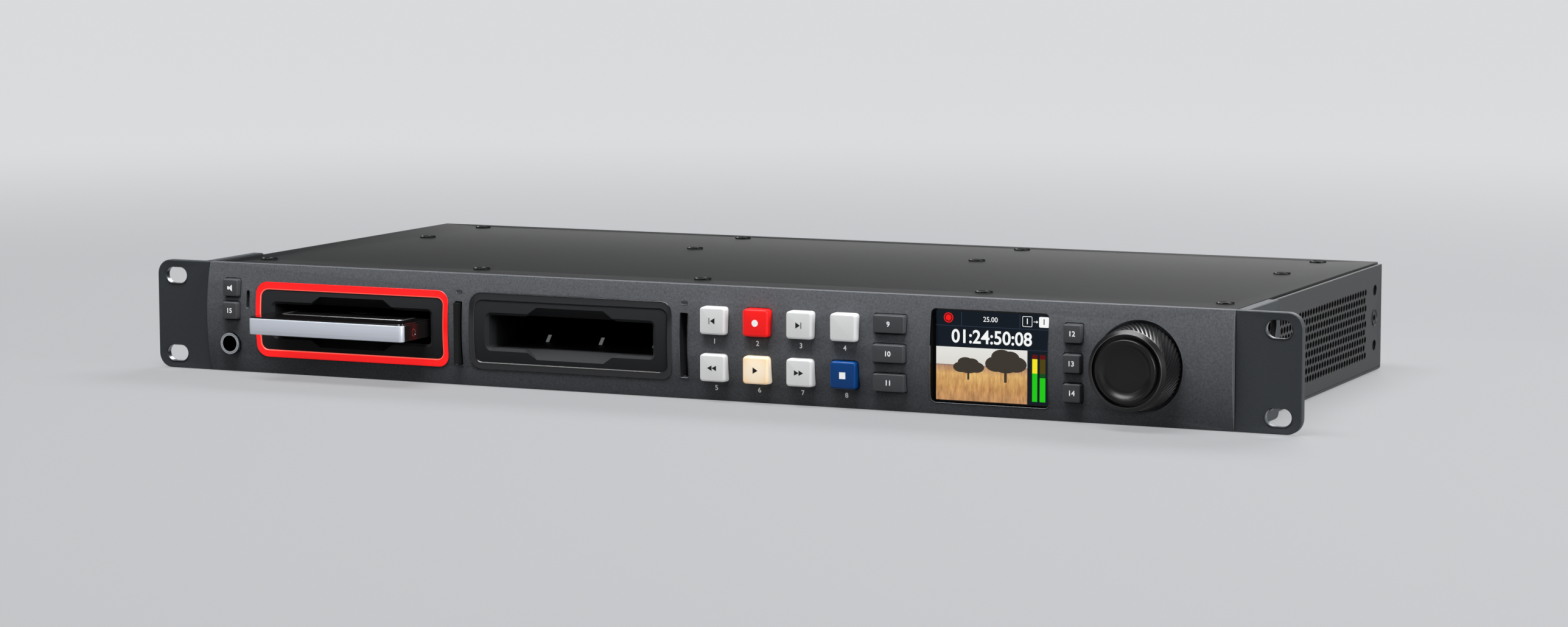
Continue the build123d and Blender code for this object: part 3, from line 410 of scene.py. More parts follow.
bm = bmesh.new()
border = outline(bm, 0, 0, panel_width, 2 * half_height, 0.05, steps=1)
openings = [(outline(bm, x, 0, bay_width, bay_height, bay_corner), 0.25) for x in bay_x]
openings += [(outline(bm, x, card_z, card_width, card_height, 0.6), 0.2) for x in card_x]
openings += [(outline(bm, x, lens_z, lens_width, lens_height, 0.72), 0.12) for x in lens_x]
openings += [(outline(bm, status_x, status_z, status_width, status_height, 0.82), 0.12),
             (round_outline(bm, jack_x, jack_z, jack_opening), 0.35),
             (outline(bm, screen_x, 0, screen_width, screen_height, 2.0), 0.15),
             (round_outline(bm, dial_x, 0, dial_opening, sides=96), 0.35)]
for x, z, width, height in key_places.values():
    corner_r = 1.6 if height == large_size else 1.0
    openings.append((outline(bm, x, z, width + key_gap, height + key_gap, corner_r), 0.2))
sheet_with_openings(bm, border, openings, 0.12, [bend_step * line for line in range(-43, 44)])
lay_on_front(bm, 0.0, 0.0)
round_outline(bm, dial_x, 0, dial_opening + 0.1, y=-2.5, sides=96)
for face in bm.faces:
    middle = face.calc_center_median()
    in_pocket = (abs(middle.x - screen_x) < screen_width / 2 + 0.05
                 and abs(middle.z) < screen_height / 2 + 0.1)
    if in_pocket and abs(face.normal.y) < 0.3:
        face.material_index = 1
front_moulding = make_piece(bm, "front_moulding", [panel_paint, pocket_gloss], "case",
                            ["front_panel"])
shade_as_curved(front_moulding, 0.0)

# Rack ears
# Steel plates with two slots each, bent back into arms that two screws hold to the
# sides of the case. Grained dark grey paint, with bright bare metal on the walls inside the slots.
wall_x = 216.3
ear_x, ear_width, ear_thickness = 228.8, 25.0, 3.0
slot_x, slot_z = 232.55, 15.875
slot_width, slot_height = 10.3, 6.9
arm_y, arm_depth, arm_thickness = 19.0, 39.0, 3.75
arm_bore, arm_bore_y, arm_bore_z = 11.2, 29.0, 12.6
ear_paint = grained("ear_paint", "3b3e41", 0.5, 2200.0, 0.4, 0.06, 0.00003, metallic=0.1,
                    specular=0.15)
slot_metal = grained("slot_metal", "8d9092", 0.35, 900.0, 0.1, 0.1, 0.00001, metallic=1.0)
screw_black = grained("screw_black", "141516", 0.35, 2500.0, 0.2, 0.05, 0.00001, metallic=0.6)


def add_copy(bm, part, place=Matrix.Identity(4)):
    """Add a copy of one shape to another at a place."""
    mesh = bpy.data.meshes.new("copy")
    part.to_mesh(mesh)
    mesh.transform(place)
    bm.from_mesh(mesh)
    bpy.data.meshes.remove(mesh)


def turn_to_side(bm, side, x):
    """Turn a shape drawn facing the viewer so that it faces out at the left or right."""
    bmesh.ops.rotate(bm, verts=bm.verts[:], cent=(0, 0, 0),
                     matrix=Matrix.Rotation(side * pi / 2, 3, "Z"))
    bmesh.ops.translate(bm, verts=bm.verts[:], vec=(side * x, 0, 0))


def screw_head(diameter, socket, thickness):
    """A screw's head with a six-sided socket, drawn facing the viewer at the origin."""
    head = bmesh.new()
    border = round_outline(head, 0, 0, diameter, sides=32)
    hole = round_outline(head, 0, 0, socket, sides=6)
    sheet_with_openings(head, border, [(hole, 0.08)], 0.3)
    set_rear(head, thickness)
    round_outline(head, 0, 0, socket + 0.4, y=0.7 * thickness, sides=12)
    return head


for side, name in ((-1, "left"), (1, "right")):
    bm = bmesh.new()
    border = outline(bm, side * ear_x, 0, ear_width, 2 * half_height, 5.8, steps=8, side=side)
    slots = [(outline(bm, side * slot_x, z, slot_width, slot_height, 3.44, steps=10), 0.25)
             for z in (-slot_z, slot_z)]
    sheet_with_openings(bm, border, slots, 0.3)
    set_rear(bm, ear_thickness)
    bmesh.ops.translate(bm, verts=bm.verts[:], vec=(0, -ear_thickness, 0))
    for face in bm.faces:
        middle = face.calc_center_median()
        in_slot = (abs(abs(middle.z) - slot_z) < slot_height / 2 + 0.05
                   and abs(middle.x - side * slot_x) < slot_width / 2 + 0.05)
        if in_slot and abs(face.normal.y) < 0.5:
            face.material_index = 1
    arm = bmesh.new()
    border = outline(arm, side * arm_y, 0, arm_depth, 2 * half_height, 3.0, side=side)
    bores = [(round_outline(arm, side * arm_bore_y, z, arm_bore, sides=40), 0.25)
             for z in (-arm_bore_z, arm_bore_z)]
    sheet_with_openings(arm, border, bores, 0.3)
    set_rear(arm, arm_thickness)
    turn_to_side(arm, side, wall_x + 3.8)
    add_copy(bm, arm)
    arm.free()
    make_piece(bm, "ear_" + name, [ear_paint, slot_metal], "case", ["rack_ear_" + name])
    bm = bmesh.new()
    head = screw_head(9.6, 5.0, 2.0)
    turn_to_side(head, side, wall_x + 2.4)
    for z in (-arm_bore_z, arm_bore_z):
        add_copy(bm, head, Matrix.Translation((0, arm_bore_y, z)))
    head.free()
    make_piece(bm, "ear_screws_" + name, [screw_black], "case")

# Case
# One steel sheet bent up at both sides, with fine six-sided vents punched in staggered
# rows and three screw holes near the rear. Black powder coat, and the walls of the vents
# are painted near black as painted shade inside the holes.
case_depth, case_sheet_thickness = 188.0, 1.2
wall_z, wall_height = 0.2, 41.2
floor_z, floor_height, floor_bend = -21.2, 1.6, 1.59
flange_x, flange_y, flange_z = 210.6, 93.4, 20.0
flange_width, flange_depth = 9.0, 186.8
vent_rows, vent_columns = 9, 34
vent_width = 2.92
vent_pitch_y, vent_pitch_z = 3.56, 3.16
vent_first_y, vent_first_z = 165.2, 11.45
side_hole_y, side_hole_z = 178.8, 11.1
case_paint = grained("case_paint", "2b2c2e", 0.46, 2200.0, 0.35, 0.05, 0.00003, metallic=0.1)
vent_painted_shade = grained("vent_painted_shade", "060607", 0.8, 900.0, 0.1, 0.05, 0.000004)


def block(bm, place, size, turn=Matrix.Identity(4)):
    """A block with its middle at a place."""
    bmesh.ops.create_cube(bm, size=1.0,
                          matrix=Matrix.Translation(place) @ turn @ Matrix.Diagonal((*size, 1)))


bm = bmesh.new()
for side in (-1, 1):
    wall = bmesh.new()
    border = outline(wall, side * case_depth / 2, wall_z, case_depth, wall_height, 0.05, steps=1)
    holes = []
    for row in range(vent_rows):
        for column in range(vent_columns):
            y = vent_first_y - vent_pitch_y * column - vent_pitch_y / 2 * (row % 2)
            z = vent_first_z - vent_pitch_z * row
            holes.append((round_outline(wall, side * y, z, vent_width, sides=6), 0.06))
    holes += [(round_outline(wall, side * side_hole_y, z, 4.5, sides=24), 0.12)
              for z in (-side_hole_z, side_hole_z)]
    holes.append((round_outline(wall, side * side_hole_y, 0, 6.6, sides=32), 0.3))
    sheet_with_openings(wall, border, holes, 0.15)
    set_rear(wall, case_sheet_thickness)
    turn_to_side(wall, side, wall_x)
    add_copy(bm, wall)
    wall.free()
floor = bmesh.new()
strip = bar(floor, 0, floor_z, 0.0, 2 * wall_x, floor_height)
round_off(floor, [vert for vert in strip.verts if vert.co.z < floor_z], floor_bend, 5)
strip_top = floor_z + floor_height / 2 - 0.1
top = [edge for edge in floor.edges if all(vert.co.z > strip_top for vert in edge.verts)]
bmesh.ops.delete(floor, geom=floor.faces[:], context="FACES_ONLY")
bmesh.ops.delete(floor, geom=top, context="EDGES")
made = bmesh.ops.extrude_edge_only(floor, edges=floor.edges[:])
bmesh.ops.translate(floor, vec=(0, case_depth, 0),
                    verts=[item for item in made["geom"] if isinstance(item, bmesh.types.BMVert)])
bmesh.ops.recalc_face_normals(floor, faces=floor.faces[:])
bmesh.ops.solidify(floor, geom=floor.faces[:], thickness=case_sheet_thickness)
add_copy(bm, floor)
floor.free()
for side in (-1, 1):
    block(bm, (side * flange_x, flange_y, flange_z),
          (flange_width, flange_depth, case_sheet_thickness))
# Painted shade: faces of the walls inside the vent field take the near black second finish.
for face in bm.faces:
    middle = face.calc_center_median()
    in_vent_shade = abs(middle.x) > wall_x - 1.15 and abs(face.normal.x) < 0.3
    if in_vent_shade and 40 < middle.y < 168 and abs(middle.z + 1.2) < 14.5:
        face.material_index = 1
make_piece(bm, "case_sheet", [case_paint, vent_painted_shade], "case", ["chassis_tray"])

bm = bmesh.new()
head = screw_head(6.2, 2.6, 1.0)
for side in (-1, 1):
    add_copy(bm, head, Matrix.Translation((side * (wall_x - 0.25), side_hole_y, 0))
             @ Matrix.Rotation(side * pi / 2, 4, "Z"))
head.free()
make_piece(bm, "side_screws", [screw_black], "case")

# Cover
# A flat steel sheet, let in between the sides, with flush black screws in shallow
# dimples. The same black coat, a little smoother.
cover_y, cover_width, cover_depth = 94.15, 429.4, 187.7
cover_top, cover_thickness, cover_screw_top = 21.6, 1.0, 21.35
cover_screws = [(x, y) for y, row in ((180.4, (-191.9, -64.3, 64.3, 191.9)),
                                      (131.3, (-192.0, -63.5, 63.5, 192.0)),
                                      (22.2, (-203.9, -105.0, -7.4, 109.6, 204.2)))
                for x in row]
cover_paint = grained("cover_paint", "141516", 0.277, 300.0, 0.02, 0.06, 0.0, specular=0.08,
                      even_gloss=True)


def lay_flat(bm, z):
    """Lay a shape drawn facing the viewer on its back, its drawn height running to the
    rear, and lift it to height z."""
    bmesh.ops.rotate(bm, verts=bm.verts[:], cent=(0, 0, 0),
                     matrix=Matrix.Rotation(-pi / 2, 3, "X"))
    bmesh.ops.translate(bm, verts=bm.verts[:], vec=(0, 0, z))


bm = bmesh.new()
border = outline(bm, 0, cover_y, cover_width, cover_depth, 0.3, steps=2)
dimples = [(round_outline(bm, x, y, 6.8, sides=32), 0.3) for x, y in cover_screws]
sheet_with_openings(bm, border, dimples, 0.2)
set_rear(bm, cover_thickness)
lay_flat(bm, cover_top)
make_piece(bm, "cover_sheet", [cover_paint], "case", ["top_cover"])

bm = bmesh.new()
head = screw_head(6.1, 2.6, 0.9)
for x, y in cover_screws:
    add_copy(bm, head, Matrix.Translation((x, y, cover_screw_top))
             @ Matrix.Rotation(-pi / 2, 4, "X"))
head.free()
make_piece(bm, "cover_screws", [screw_black], "case")

# Light rings
# Moulded light guides let into the panel round the bays. The left one is lit red, and
# its inner edge shows paler; the right one is dark.
ring_gap, ring_sink = 0.2, -0.05
ring_inner_width, ring_inner_height = 84.1, 24.9


def glow(finish, color, strength):
    """Let a finish give light of its own."""
    shader_of(finish).inputs["Emission Color"].default_value = tone(color)
    shader_of(finish).inputs["Emission Strength"].default_value = strength


ring_red = new_finish("ring_red", "f01414", 0.3)
glow(ring_red, "ff1616", 0.75)
ring_edge = new_finish("ring_edge", "f04a40", 0.3)
glow(ring_edge, "ff6a5c", 0.8)
ring_dark = grained("ring_dark", "1d1e20", 0.22, 1500.0, 0.08, 0.03, 0.000003, specular=0.6)
for x, name, ring_finishes in ((bay_x[0], "left", [ring_red, ring_edge]),
                               (bay_x[1], "right", [ring_dark, ring_dark])):
    bm = bmesh.new()
    border = outline(bm, x, 0, bay_width - ring_gap, bay_height - ring_gap,
                     bay_corner - ring_gap / 2, steps=8)
    inside = outline(bm, x, 0, ring_inner_width, ring_inner_height, 3.3, steps=8)
    sheet_with_openings(bm, border, [(inside, 0.3)], 0.15,
                        [bend_step * line for line in range(-30, 31)])
    lay_on_front(bm, ring_sink, 0.0)
    for face in bm.faces:
        middle = face.calc_center_median()
        inner = (abs(middle.x - x) < ring_inner_width / 2 + 0.05
                 and abs(middle.z) < ring_inner_height / 2 + 0.05)
        if inner and face.normal.y > -0.93:
            face.material_index = 1
    ring = make_piece(bm, "bay_light_" + name, ring_finishes, "case", ["light_ring_" + name])
    shade_as_curved(ring, ring_sink)

# Keys
# Moulded caps with soft edges. The large ones are translucent, in grey, red, blue and one
# lit warm white, all but one with a printed sign. The small ones are dark, with white
# numbers or a sound sign.
large_proud, small_proud = 3.0, 2.2
sign_thickness, figure_thickness = 0.02, 0.012
figure_height, figure_share = 1.9, 0.70
key_grey = grained("key_grey", "b8b9ba", 0.42, 1800.0, 0.03, 0.02, 0.000004)
# Painted glow: the grey and red caps give light of their own, in place of the light that scatters
# through their translucent plastic. They hold no lamp.
glow(key_grey, "dcdcdc", 0.36)
key_red = grained("key_red", "f01c1c", 0.35, 1800.0, 0.03, 0.02, 0.000004)
glow(key_red, "ff2020", 0.25)
key_blue = grained("key_blue", "003f80", 0.32, 1800.0, 0.03, 0.02, 0.000004)
key_black = grained("key_black", "46474a", 0.42, 1800.0, 0.1, 0.03, 0.00001)
ink_dark = grained("ink_dark", "131415", 0.5, 1500.0, 0.05, 0.02, 0.000002)
ink_white_painted_glow = grained("ink_white_painted_glow", "f2f3f3", 0.5, 1500.0, 0.02, 0.01, 0.000002)
# Painted glow: the white ink gives a little light of its own, to lift it out of the keys' shadows.
glow(ink_white_painted_glow, "f2f3f3", 0.22)

# The lit key's lamp stands behind its middle, so its light turns warmer to the edges.
key_lit = new_finish("key_lit", "cdbd9f", 0.4)
shader_of(key_lit).inputs["Emission Strength"].default_value = 0.5
tree = key_lit.node_tree
place = add_node(tree, "TexCoord")
play_x, play_z = key_places["key_play"][:2]
shift = add_node(tree, "Mapping", {"Location": (-0.001 * play_x, 0.0, -0.001 * play_z)})
reach = add_node(tree, "VectorMath", operation="LENGTH")
spread = add_fade(tree, 0.0085, 0.0115)
warmth = add_node(tree, "Mix", {"A": tone("fff2de"), "B": tone("f6bd78")}, data_type="RGBA")
join_nodes(tree, ((place, "Object", shift, "Vector"), (shift, "Vector", reach, 0),
                  (reach, "Value", spread, "Value"), (spread, "Result", warmth, "Factor"),
                  (warmth, "Result", shader_of(key_lit), "Emission Color")))


def key_cap(x, z, width, height, radius, proud, taper, edge):
    """A cap that comes through the panel, slopes in by its taper and ends in a soft edge."""
    rear_y, straight = 0.3, 0.15
    bm = bmesh.new()
    # The first outline stays as the back, and the second one is drawn out to the front.
    outline(bm, x, z, width, height, radius, y=rear_y, steps=6)
    face = outline(bm, x, z, width, height, radius, y=rear_y, steps=6)
    base_y = front_y(z) - straight
    steps = [(0.0, rear_y - base_y), (taper, proud - straight - edge)]
    for step in range(1, 6):
        before, after = radians(18 * (step - 1)), radians(18 * step)
        steps.append((edge * (cos(before) - cos(after)), edge * (sin(after) - sin(before))))
    for inward, rise in steps:
        if inward == 0.0:
            made = bmesh.ops.extrude_discrete_faces(bm, faces=[face])
            face = made["faces"][0]
            bmesh.ops.translate(bm, verts=list(face.verts), vec=(0, -rise, 0))
        else:
            bmesh.ops.inset_individual(bm, faces=[face], thickness=inward, depth=rise)
    return bm


def triangle(bm, x, z, y, width, height, way):
    """A triangle that points left or right."""
    made = bmesh.ops.create_circle(bm, cap_ends=True, segments=3, radius=1.0,
                                   matrix=facing(0, 0, y))
    face = made["verts"][0].link_faces[0]
    bmesh.ops.rotate(bm, verts=made["verts"], cent=(0, y, 0),
                     matrix=Matrix.Rotation(way * pi / 2, 3, "Y"))
    bmesh.ops.scale(bm, vec=(width / 1.5, 1, height / sqrt(3)), verts=made["verts"])
    bmesh.ops.translate(bm, vec=(x - way * width / 6, 0, z), verts=made["verts"])
    return face


def add_sign(bm, x, z, y, shapes):
    """Print a sign of bars, dots and arrows in the second finish, a hair thick. A shape is
    its kind, its shift from the middle of the key, its width and its height."""
    faces = []
    for kind, shift, width, height in shapes:
        if kind == "bar":
            faces.append(bar(bm, x + shift, z, y, width, height))
        elif kind == "dot":
            faces.append(round_outline(bm, x + shift, z, width, y=y))
        else:
            way = -1 if kind == "left" else 1
            faces.append(triangle(bm, x + shift, z, y, width, height, way))
    for face in faces:
        face.material_index = 1
    for face in bmesh.ops.extrude_discrete_faces(bm, faces=faces)["faces"]:
        face.material_index = 1
        bmesh.ops.translate(bm, verts=list(face.verts), vec=(0, -sign_thickness, 0))


def write_number(bm, text, x, z, y, height, ink=0, tilt=0.0, weight=0.0, wide=1.0):
    """Print plain figures, centred on a point, on a surface that faces the viewer."""
    curve = bpy.data.curves.new("figures", "FONT")
    curve.body = text
    curve.align_x = "CENTER"
    curve.align_y = "CENTER"
    curve.size = height / figure_share
    curve.extrude = figure_thickness
    curve.offset = weight
    curve.resolution_u = 4
    figures = bpy.data.objects.new("figures", curve)
    bpy.context.collection.objects.link(figures)
    bpy.context.view_layer.update()
    mesh = bpy.data.meshes.new_from_object(figures.evaluated_get(
        bpy.context.evaluated_depsgraph_get()))
    mesh.transform(Matrix.Translation((x, y, z)) @ Matrix.Rotation(pi / 2 - tilt, 4, "X")
                   @ Matrix.Diagonal((wide, 1, 1, 1)))
    before = set(bm.faces)
    bm.from_mesh(mesh)
    bpy.data.objects.remove(figures)
    bpy.data.meshes.remove(mesh)
    bpy.data.curves.remove(curve)
    for face in bm.faces:
        if face not in before:
            face.material_index = ink


for name, cap_finishes, sign in (
        ("key_skip_back", [key_grey, ink_dark], (("left", 0.25, 1.9, 2.4), ("bar", -1.1, 0.32, 2.4))),
        ("key_record", [key_red, ink_white_painted_glow], (("dot", 0.0, 2.6, 2.6),)),
        ("key_skip_forward", [key_grey, ink_dark],
         (("right", -0.25, 1.9, 2.4), ("bar", 1.1, 0.32, 2.4))),
        ("key_input", [key_grey], ()),
        ("key_rewind", [key_grey, ink_dark], (("left", -1.05, 1.9, 2.1), ("left", 0.85, 1.9, 2.1))),
        ("key_play", [key_lit, ink_dark], (("right", 0.1, 2.1, 2.5),)),
        ("key_fast_forward", [key_grey, ink_dark],
         (("right", -0.85, 1.9, 2.1), ("right", 1.05, 1.9, 2.1))),
        ("key_stop", [key_blue, ink_white_painted_glow], (("bar", 0.0, 2.5, 2.5),))):
    x, z, width, height = key_places[name]
    bm = key_cap(x, z, width, height, radius=1.35, proud=large_proud, taper=0.12, edge=0.75)
    if sign:
        add_sign(bm, x, z, front_y(z) - large_proud, sign)
    make_piece(bm, "cap_" + name[4:], cap_finishes, name, [name])

for number, name in enumerate(("key_search", "key_menu", "key_set", "key_shuttle", "key_jog",
                               "key_scroll", "key_remote", "key_mute"), start=9):
    x, z, width, height = key_places[name]
    bm = key_cap(x, z, width, height, radius=0.9, proud=small_proud, taper=0.25, edge=0.35)
    y = front_y(z) - small_proud
    if name == "key_mute":
        add_sign(bm, x, z, y, (("bar", -0.85, 0.8, 1.3), ("left", 0.1, 1.7, 2.7)))
    else:
        write_number(bm, str(number), x, z, y - 0.01, figure_height, ink=1, weight=0.05)
    make_piece(bm, "cap_" + name[4:], [key_black, ink_white_painted_glow], name, [name])

# Printed numbers
# Small white figures printed on the panel's paint under the large keys, in the white ink
# with its painted glow. They follow the slope of the curved front.
bm = bmesh.new()
for number, name in enumerate(large_keys, start=1):
    x, z = key_places[name][0], key_places[name][1] - 8.0
    write_number(bm, str(number), x, z, front_y(z) - figure_thickness, figure_height,
                 tilt=asin(z / panel_arc_r), weight=0.035)
make_piece(bm, "panel_numbers", [ink_white_painted_glow], "case", turn=False)

# Screen
# A colour display behind a flat window, sunk in its pocket. It shows a record light, a
# frame rate, a route between two stores, a time, a plain landscape and two level bars.
screen_y = -1.56
top_row_z, rule_z = 13.95, 11.0
screen_inks = {"ground": "0f1720", "line": "2b3647", "white": "f4f6f6", "red": "f21a18",
               "dark_red": "5f0d10", "yellow": "f2e322", "dark_yellow": "4d4210",
               "green": "1fc714", "dark_green": "0b4a1a", "black": "050709"}
ink_slot = {ink: slot for slot, ink in enumerate(screen_inks)}


def lit(name, color):
    """A patch of the display: its colour is the light that it gives."""
    finish = new_finish(name, "020202", 0.25, specular=0.1)
    glow(finish, color, 1.0)
    return finish


def patch(left, right, low, high, ink, lift=0.0):
    """A lit rectangle of the display, in millimetres from the middle of the screen."""
    face = bar(bm, screen_x + (left + right) / 2, (low + high) / 2, screen_y - lift,
               right - left, high - low)
    face.material_index = ink_slot[ink]


bm = bmesh.new()
patch(-22.35, 22.25, -16.75, 16.7, "ground")
patch(-22.35, 22.25, rule_z, 11.2, "line", 0.02)
patch(13.8, 22.25, 3.25, 3.45, "line", 0.02)
patch(-12.4, -12.15, 11.2, 16.3, "line", 0.02)
patch(10.7, 10.95, 11.2, 16.3, "line", 0.02)
for diameter, ink, lift in ((3.75, "red", 0.02), (3.1, "dark_red", 0.03), (2.25, "red", 0.04)):
    disc = round_outline(bm, screen_x - 17.45, 14.05, diameter, y=screen_y - lift, sides=40)
    disc.material_index = ink_slot[ink]
for left, ink, digit_ink in ((11.8, "ground", "white"), (18.33, "white", "black")):
    x = screen_x + left + 1.93
    for width, height, radius, lift, box_ink in ((3.86, 3.9, 0.45, 0.02, "white"),
                                                 (3.5, 3.54, 0.35, 0.03, ink)):
        box = outline(bm, x, top_row_z, width, height, radius, y=screen_y - lift)
        box.material_index = ink_slot[box_ink]
    write_number(bm, "1", x, top_row_z, screen_y - 0.05, 2.1, ink_slot[digit_ink], weight=0.03)
patch(16.2, 17.6, 13.83, 14.07, "white", 0.02)
arrow = triangle(bm, screen_x + 17.65, top_row_z, screen_y - 0.02, 0.7, 1.1, 1)
arrow.material_index = ink_slot["white"]
write_number(bm, "25.00", screen_x - 0.8, 13.9, screen_y - 0.05, 1.85, ink_slot["white"])
write_number(bm, "01:24:50:08", screen_x - 0.3, 7.05, screen_y - 0.05, 4.9, ink_slot["white"],
             weight=0.12, wide=0.98)
for left, right, level in ((15.73, 17.73, 0.2), (18.7, 20.9, -6.7)):
    for low, high, ink in ((-15.6, -5.1, "green"), (-5.1, 0.2, "yellow"), (0.2, 1.8, "red")):
        top = min(max(level, low), high)
        if top > low:
            patch(left, right, low, top, ink, 0.02)
        if top < high:
            patch(left, right, top, high, "dark_" + ink, 0.02)
make_piece(bm, "display_signs", [lit("screen_" + ink, color) for ink, color in screen_inks.items()],
           "case", turn=False)

# The picture on the display: pale sky over a ploughed field with two round trees, its
# colours worked out from the height on the glass.
picture = new_finish("screen_picture", "020202", 0.25, specular=0.1)
shader_of(picture).inputs["Emission Strength"].default_value = 1.0
tree = picture.node_tree
horizon = 0.66
place = add_node(tree, "TexCoord")
parts = add_node(tree, "SeparateXYZ")
spread = add_fade(tree, -0.0168, 0.0033, kind="LINEAR")
ramp = add_node(tree, "ValToRGB")
stops = ramp.color_ramp.elements
stops[0].color = tone("b98a5e")
stops[1].color = tone("e3e3df")
for position, color in ((0.25, "c08f58"), (0.5, "d4a768"), (0.64, "b58a6c"), (0.665, "8d7468"),
                        (0.675, "d9d6cf")):
    stop = stops.new(position)
    stop.color = tone(color)
stretch = add_node(tree, "Mapping", {"Scale": (4.0, 1.0, 1.0)})
stems = add_node(tree, "TexNoise", {"Scale": 260.0, "Detail": 4.0})
below = add_node(tree, "Math", {1: horizon}, operation="LESS_THAN")
strength = add_node(tree, "Math", {1: 0.75}, operation="MULTIPLY")
field = add_node(tree, "Mix", data_type="RGBA", blend_type="OVERLAY")
join_nodes(tree, (
    (place, "Object", parts, 0), (parts, "Z", spread, "Value"),
    (spread, "Result", ramp, "Fac"), (place, "Object", stretch, "Vector"),
    (stretch, "Vector", stems, "Vector"), (spread, "Result", below, 0),
    (below, 0, strength, 0), (strength, 0, field, "Factor"),
    (ramp, "Color", field, "A"), (stems, "Fac", field, "B"),
    (field, "Result", shader_of(picture), "Emission Color")))
bm = bmesh.new()
bar(bm, screen_x - 4.25, -6.75, screen_y - 0.03, 36.1, 19.9)
make_piece(bm, "display_picture", [picture], "case", turn=False)

bm = bmesh.new()
for x, z, wide, high in ((-9.5, -3.6, 9.0, 5.6), (5.2, -1.6, 12.0, 8.2)):
    for step, (dx, dz, share) in enumerate(((0, 0, 1.0), (-0.32, -0.1, 0.7), (0.34, -0.08, 0.72),
                                            (-0.12, 0.22, 0.7), (0.15, 0.2, 0.62))):
        bmesh.ops.create_circle(
            bm, cap_ends=True, segments=28, radius=0.5,
            matrix=facing(screen_x + x + dx * wide, z + dz * high, screen_y - 0.05 - 0.002 * step)
            @ Matrix.Diagonal((wide * share, high * share, 1, 1)))
    bar(bm, screen_x + x, z - 0.62 * high, screen_y - 0.05, 0.09 * wide, 0.6 * high)
make_piece(bm, "display_trees", [lit("screen_leaf", "3b352e")], "case", turn=False)

# Headphone jack
# A turned and plated nose with a bevelled rim, let into the panel round a dark bore that
# runs to the back of the socket.
bore_r, nose_r = 3.25, 4.3
bore_end_y = 28.4
nose_y = front_y(jack_z)
plated_metal = grained("plated_metal", "b9bcbf", 0.14, 600.0, 0.04, 0.04, 0.000002, metallic=1.0)
jack_bore = grained("jack_bore", "08090a", 0.4, 900.0, 0.1, 0.05, 0.000002)


def turned(bm, profile, x, z, steps=64):
    """Spin a profile of radius and depth round an axis that faces the viewer."""
    verts = [bm.verts.new((x + radius, y, z)) for radius, y in profile]
    edges = [bm.edges.new(pair) for pair in zip(verts, verts[1:])]
    bmesh.ops.spin(bm, geom=verts + edges, cent=(x, 0, z), axis=(0, 1, 0), dvec=(0, 0, 0),
                   angle=2 * pi, steps=steps, use_merge=True, use_duplicate=False)


bm = bmesh.new()
turned(bm, [(bore_r, 3.0), (nose_r, 3.0), (nose_r, nose_y - 0.75), (4.15, nose_y - 1.05),
            (3.9, nose_y - 1.2), (3.7, nose_y - 1.2), (3.35, nose_y - 0.75),
            (bore_r, nose_y - 0.3), (bore_r, 3.0)], jack_x, jack_z)
make_piece(bm, "jack_nose", [plated_metal], "case")
bm = bmesh.new()
turned(bm, [(bore_r - 0.01, nose_y + 0.6), (bore_r - 0.01, bore_end_y), (0.01, bore_end_y)],
       jack_x, jack_z, 32)
make_piece(bm, "jack_bore", [jack_bore], "case")

# Jog dial
# A moulded dial with a spiral knurl round its skirt, a sloping ring, a deep groove and a
# dished cap in the middle. Satin black throughout, with a painted highlight on the ring: a
# thin lighter grey edge where it meets the groove.
skirt_r, skirt_taper = 15.9, 1.05
skirt_rear_y, skirt_depth = -5.1, 13.1
knurl_teeth, knurl_turn, knurl_spans = 54, 28.0, 14
tooth = (0.0, 0.0, 0.05, 0.45, 0.62, 0.45)
dial_steps = 96
cap_r, cap_side_y, cap_edge_r = 11.55, -20.45, 0.5
dish_slope, dish_depth, dish_steps = 3.4, 1.75, 14
dial_black = grained("dial_black", "151516", 0.31, 1800.0, 0.12, 0.03, 0.000008)
dial_painted_highlight = grained("dial_painted_highlight", "4a4c4e", 0.3, 1800.0, 0.05, 0.02, 0.000004)
bm = bmesh.new()
knurl_sides = knurl_teeth * len(tooth)
bmesh.ops.create_circle(bm, cap_ends=False, segments=knurl_sides, radius=skirt_r,
                        matrix=facing(dial_x, 0, skirt_rear_y))
for vert in bm.verts:
    turn = Vector((vert.co.x - dial_x, vert.co.z))
    step = round(turn.angle_signed(Vector((1, 0))) / (2 * pi) * knurl_sides) % len(tooth)
    turn *= (skirt_r - tooth[step]) / skirt_r
    vert.co.x, vert.co.z = dial_x + turn.x, turn.y
edges = bm.edges[:]
for span in range(knurl_spans):
    made = bmesh.ops.extrude_edge_only(bm, edges=edges)
    verts = [item for item in made["geom"] if isinstance(item, bmesh.types.BMVert)]
    edges = [item for item in made["geom"] if isinstance(item, bmesh.types.BMEdge)]
    edges = [edge for edge in edges if all(vert in set(verts) for vert in edge.verts)]
    share = ((skirt_r - skirt_taper * (span + 1) / knurl_spans)
             / (skirt_r - skirt_taper * span / knurl_spans))
    bmesh.ops.translate(bm, verts=verts, vec=(0, -skirt_depth / knurl_spans, 0))
    bmesh.ops.rotate(bm, verts=verts, cent=(dial_x, 0, 0),
                     matrix=Matrix.Rotation(radians(knurl_turn / knurl_spans), 3, "Y"))
    bmesh.ops.scale(bm, vec=(share, 1, share), verts=verts,
                    space=Matrix.Translation((-dial_x, 0, 0)))
for profile in ([(15.3, -2.9), (15.4, -3.1), (15.4, -5.15), (14.0, -5.15)],
                [(14.0, -18.0), (14.84, -18.15), (14.8, -18.35), (14.6, -18.5), (13.45, -19.45)],
                [(13.12, -19.45), (13.1, -17.5), (11.2, -17.5)]):
    turned(bm, profile, dial_x, 0, dial_steps)
make_piece(bm, "dial_skirt", [dial_black], "dial", ["jog_dial"])
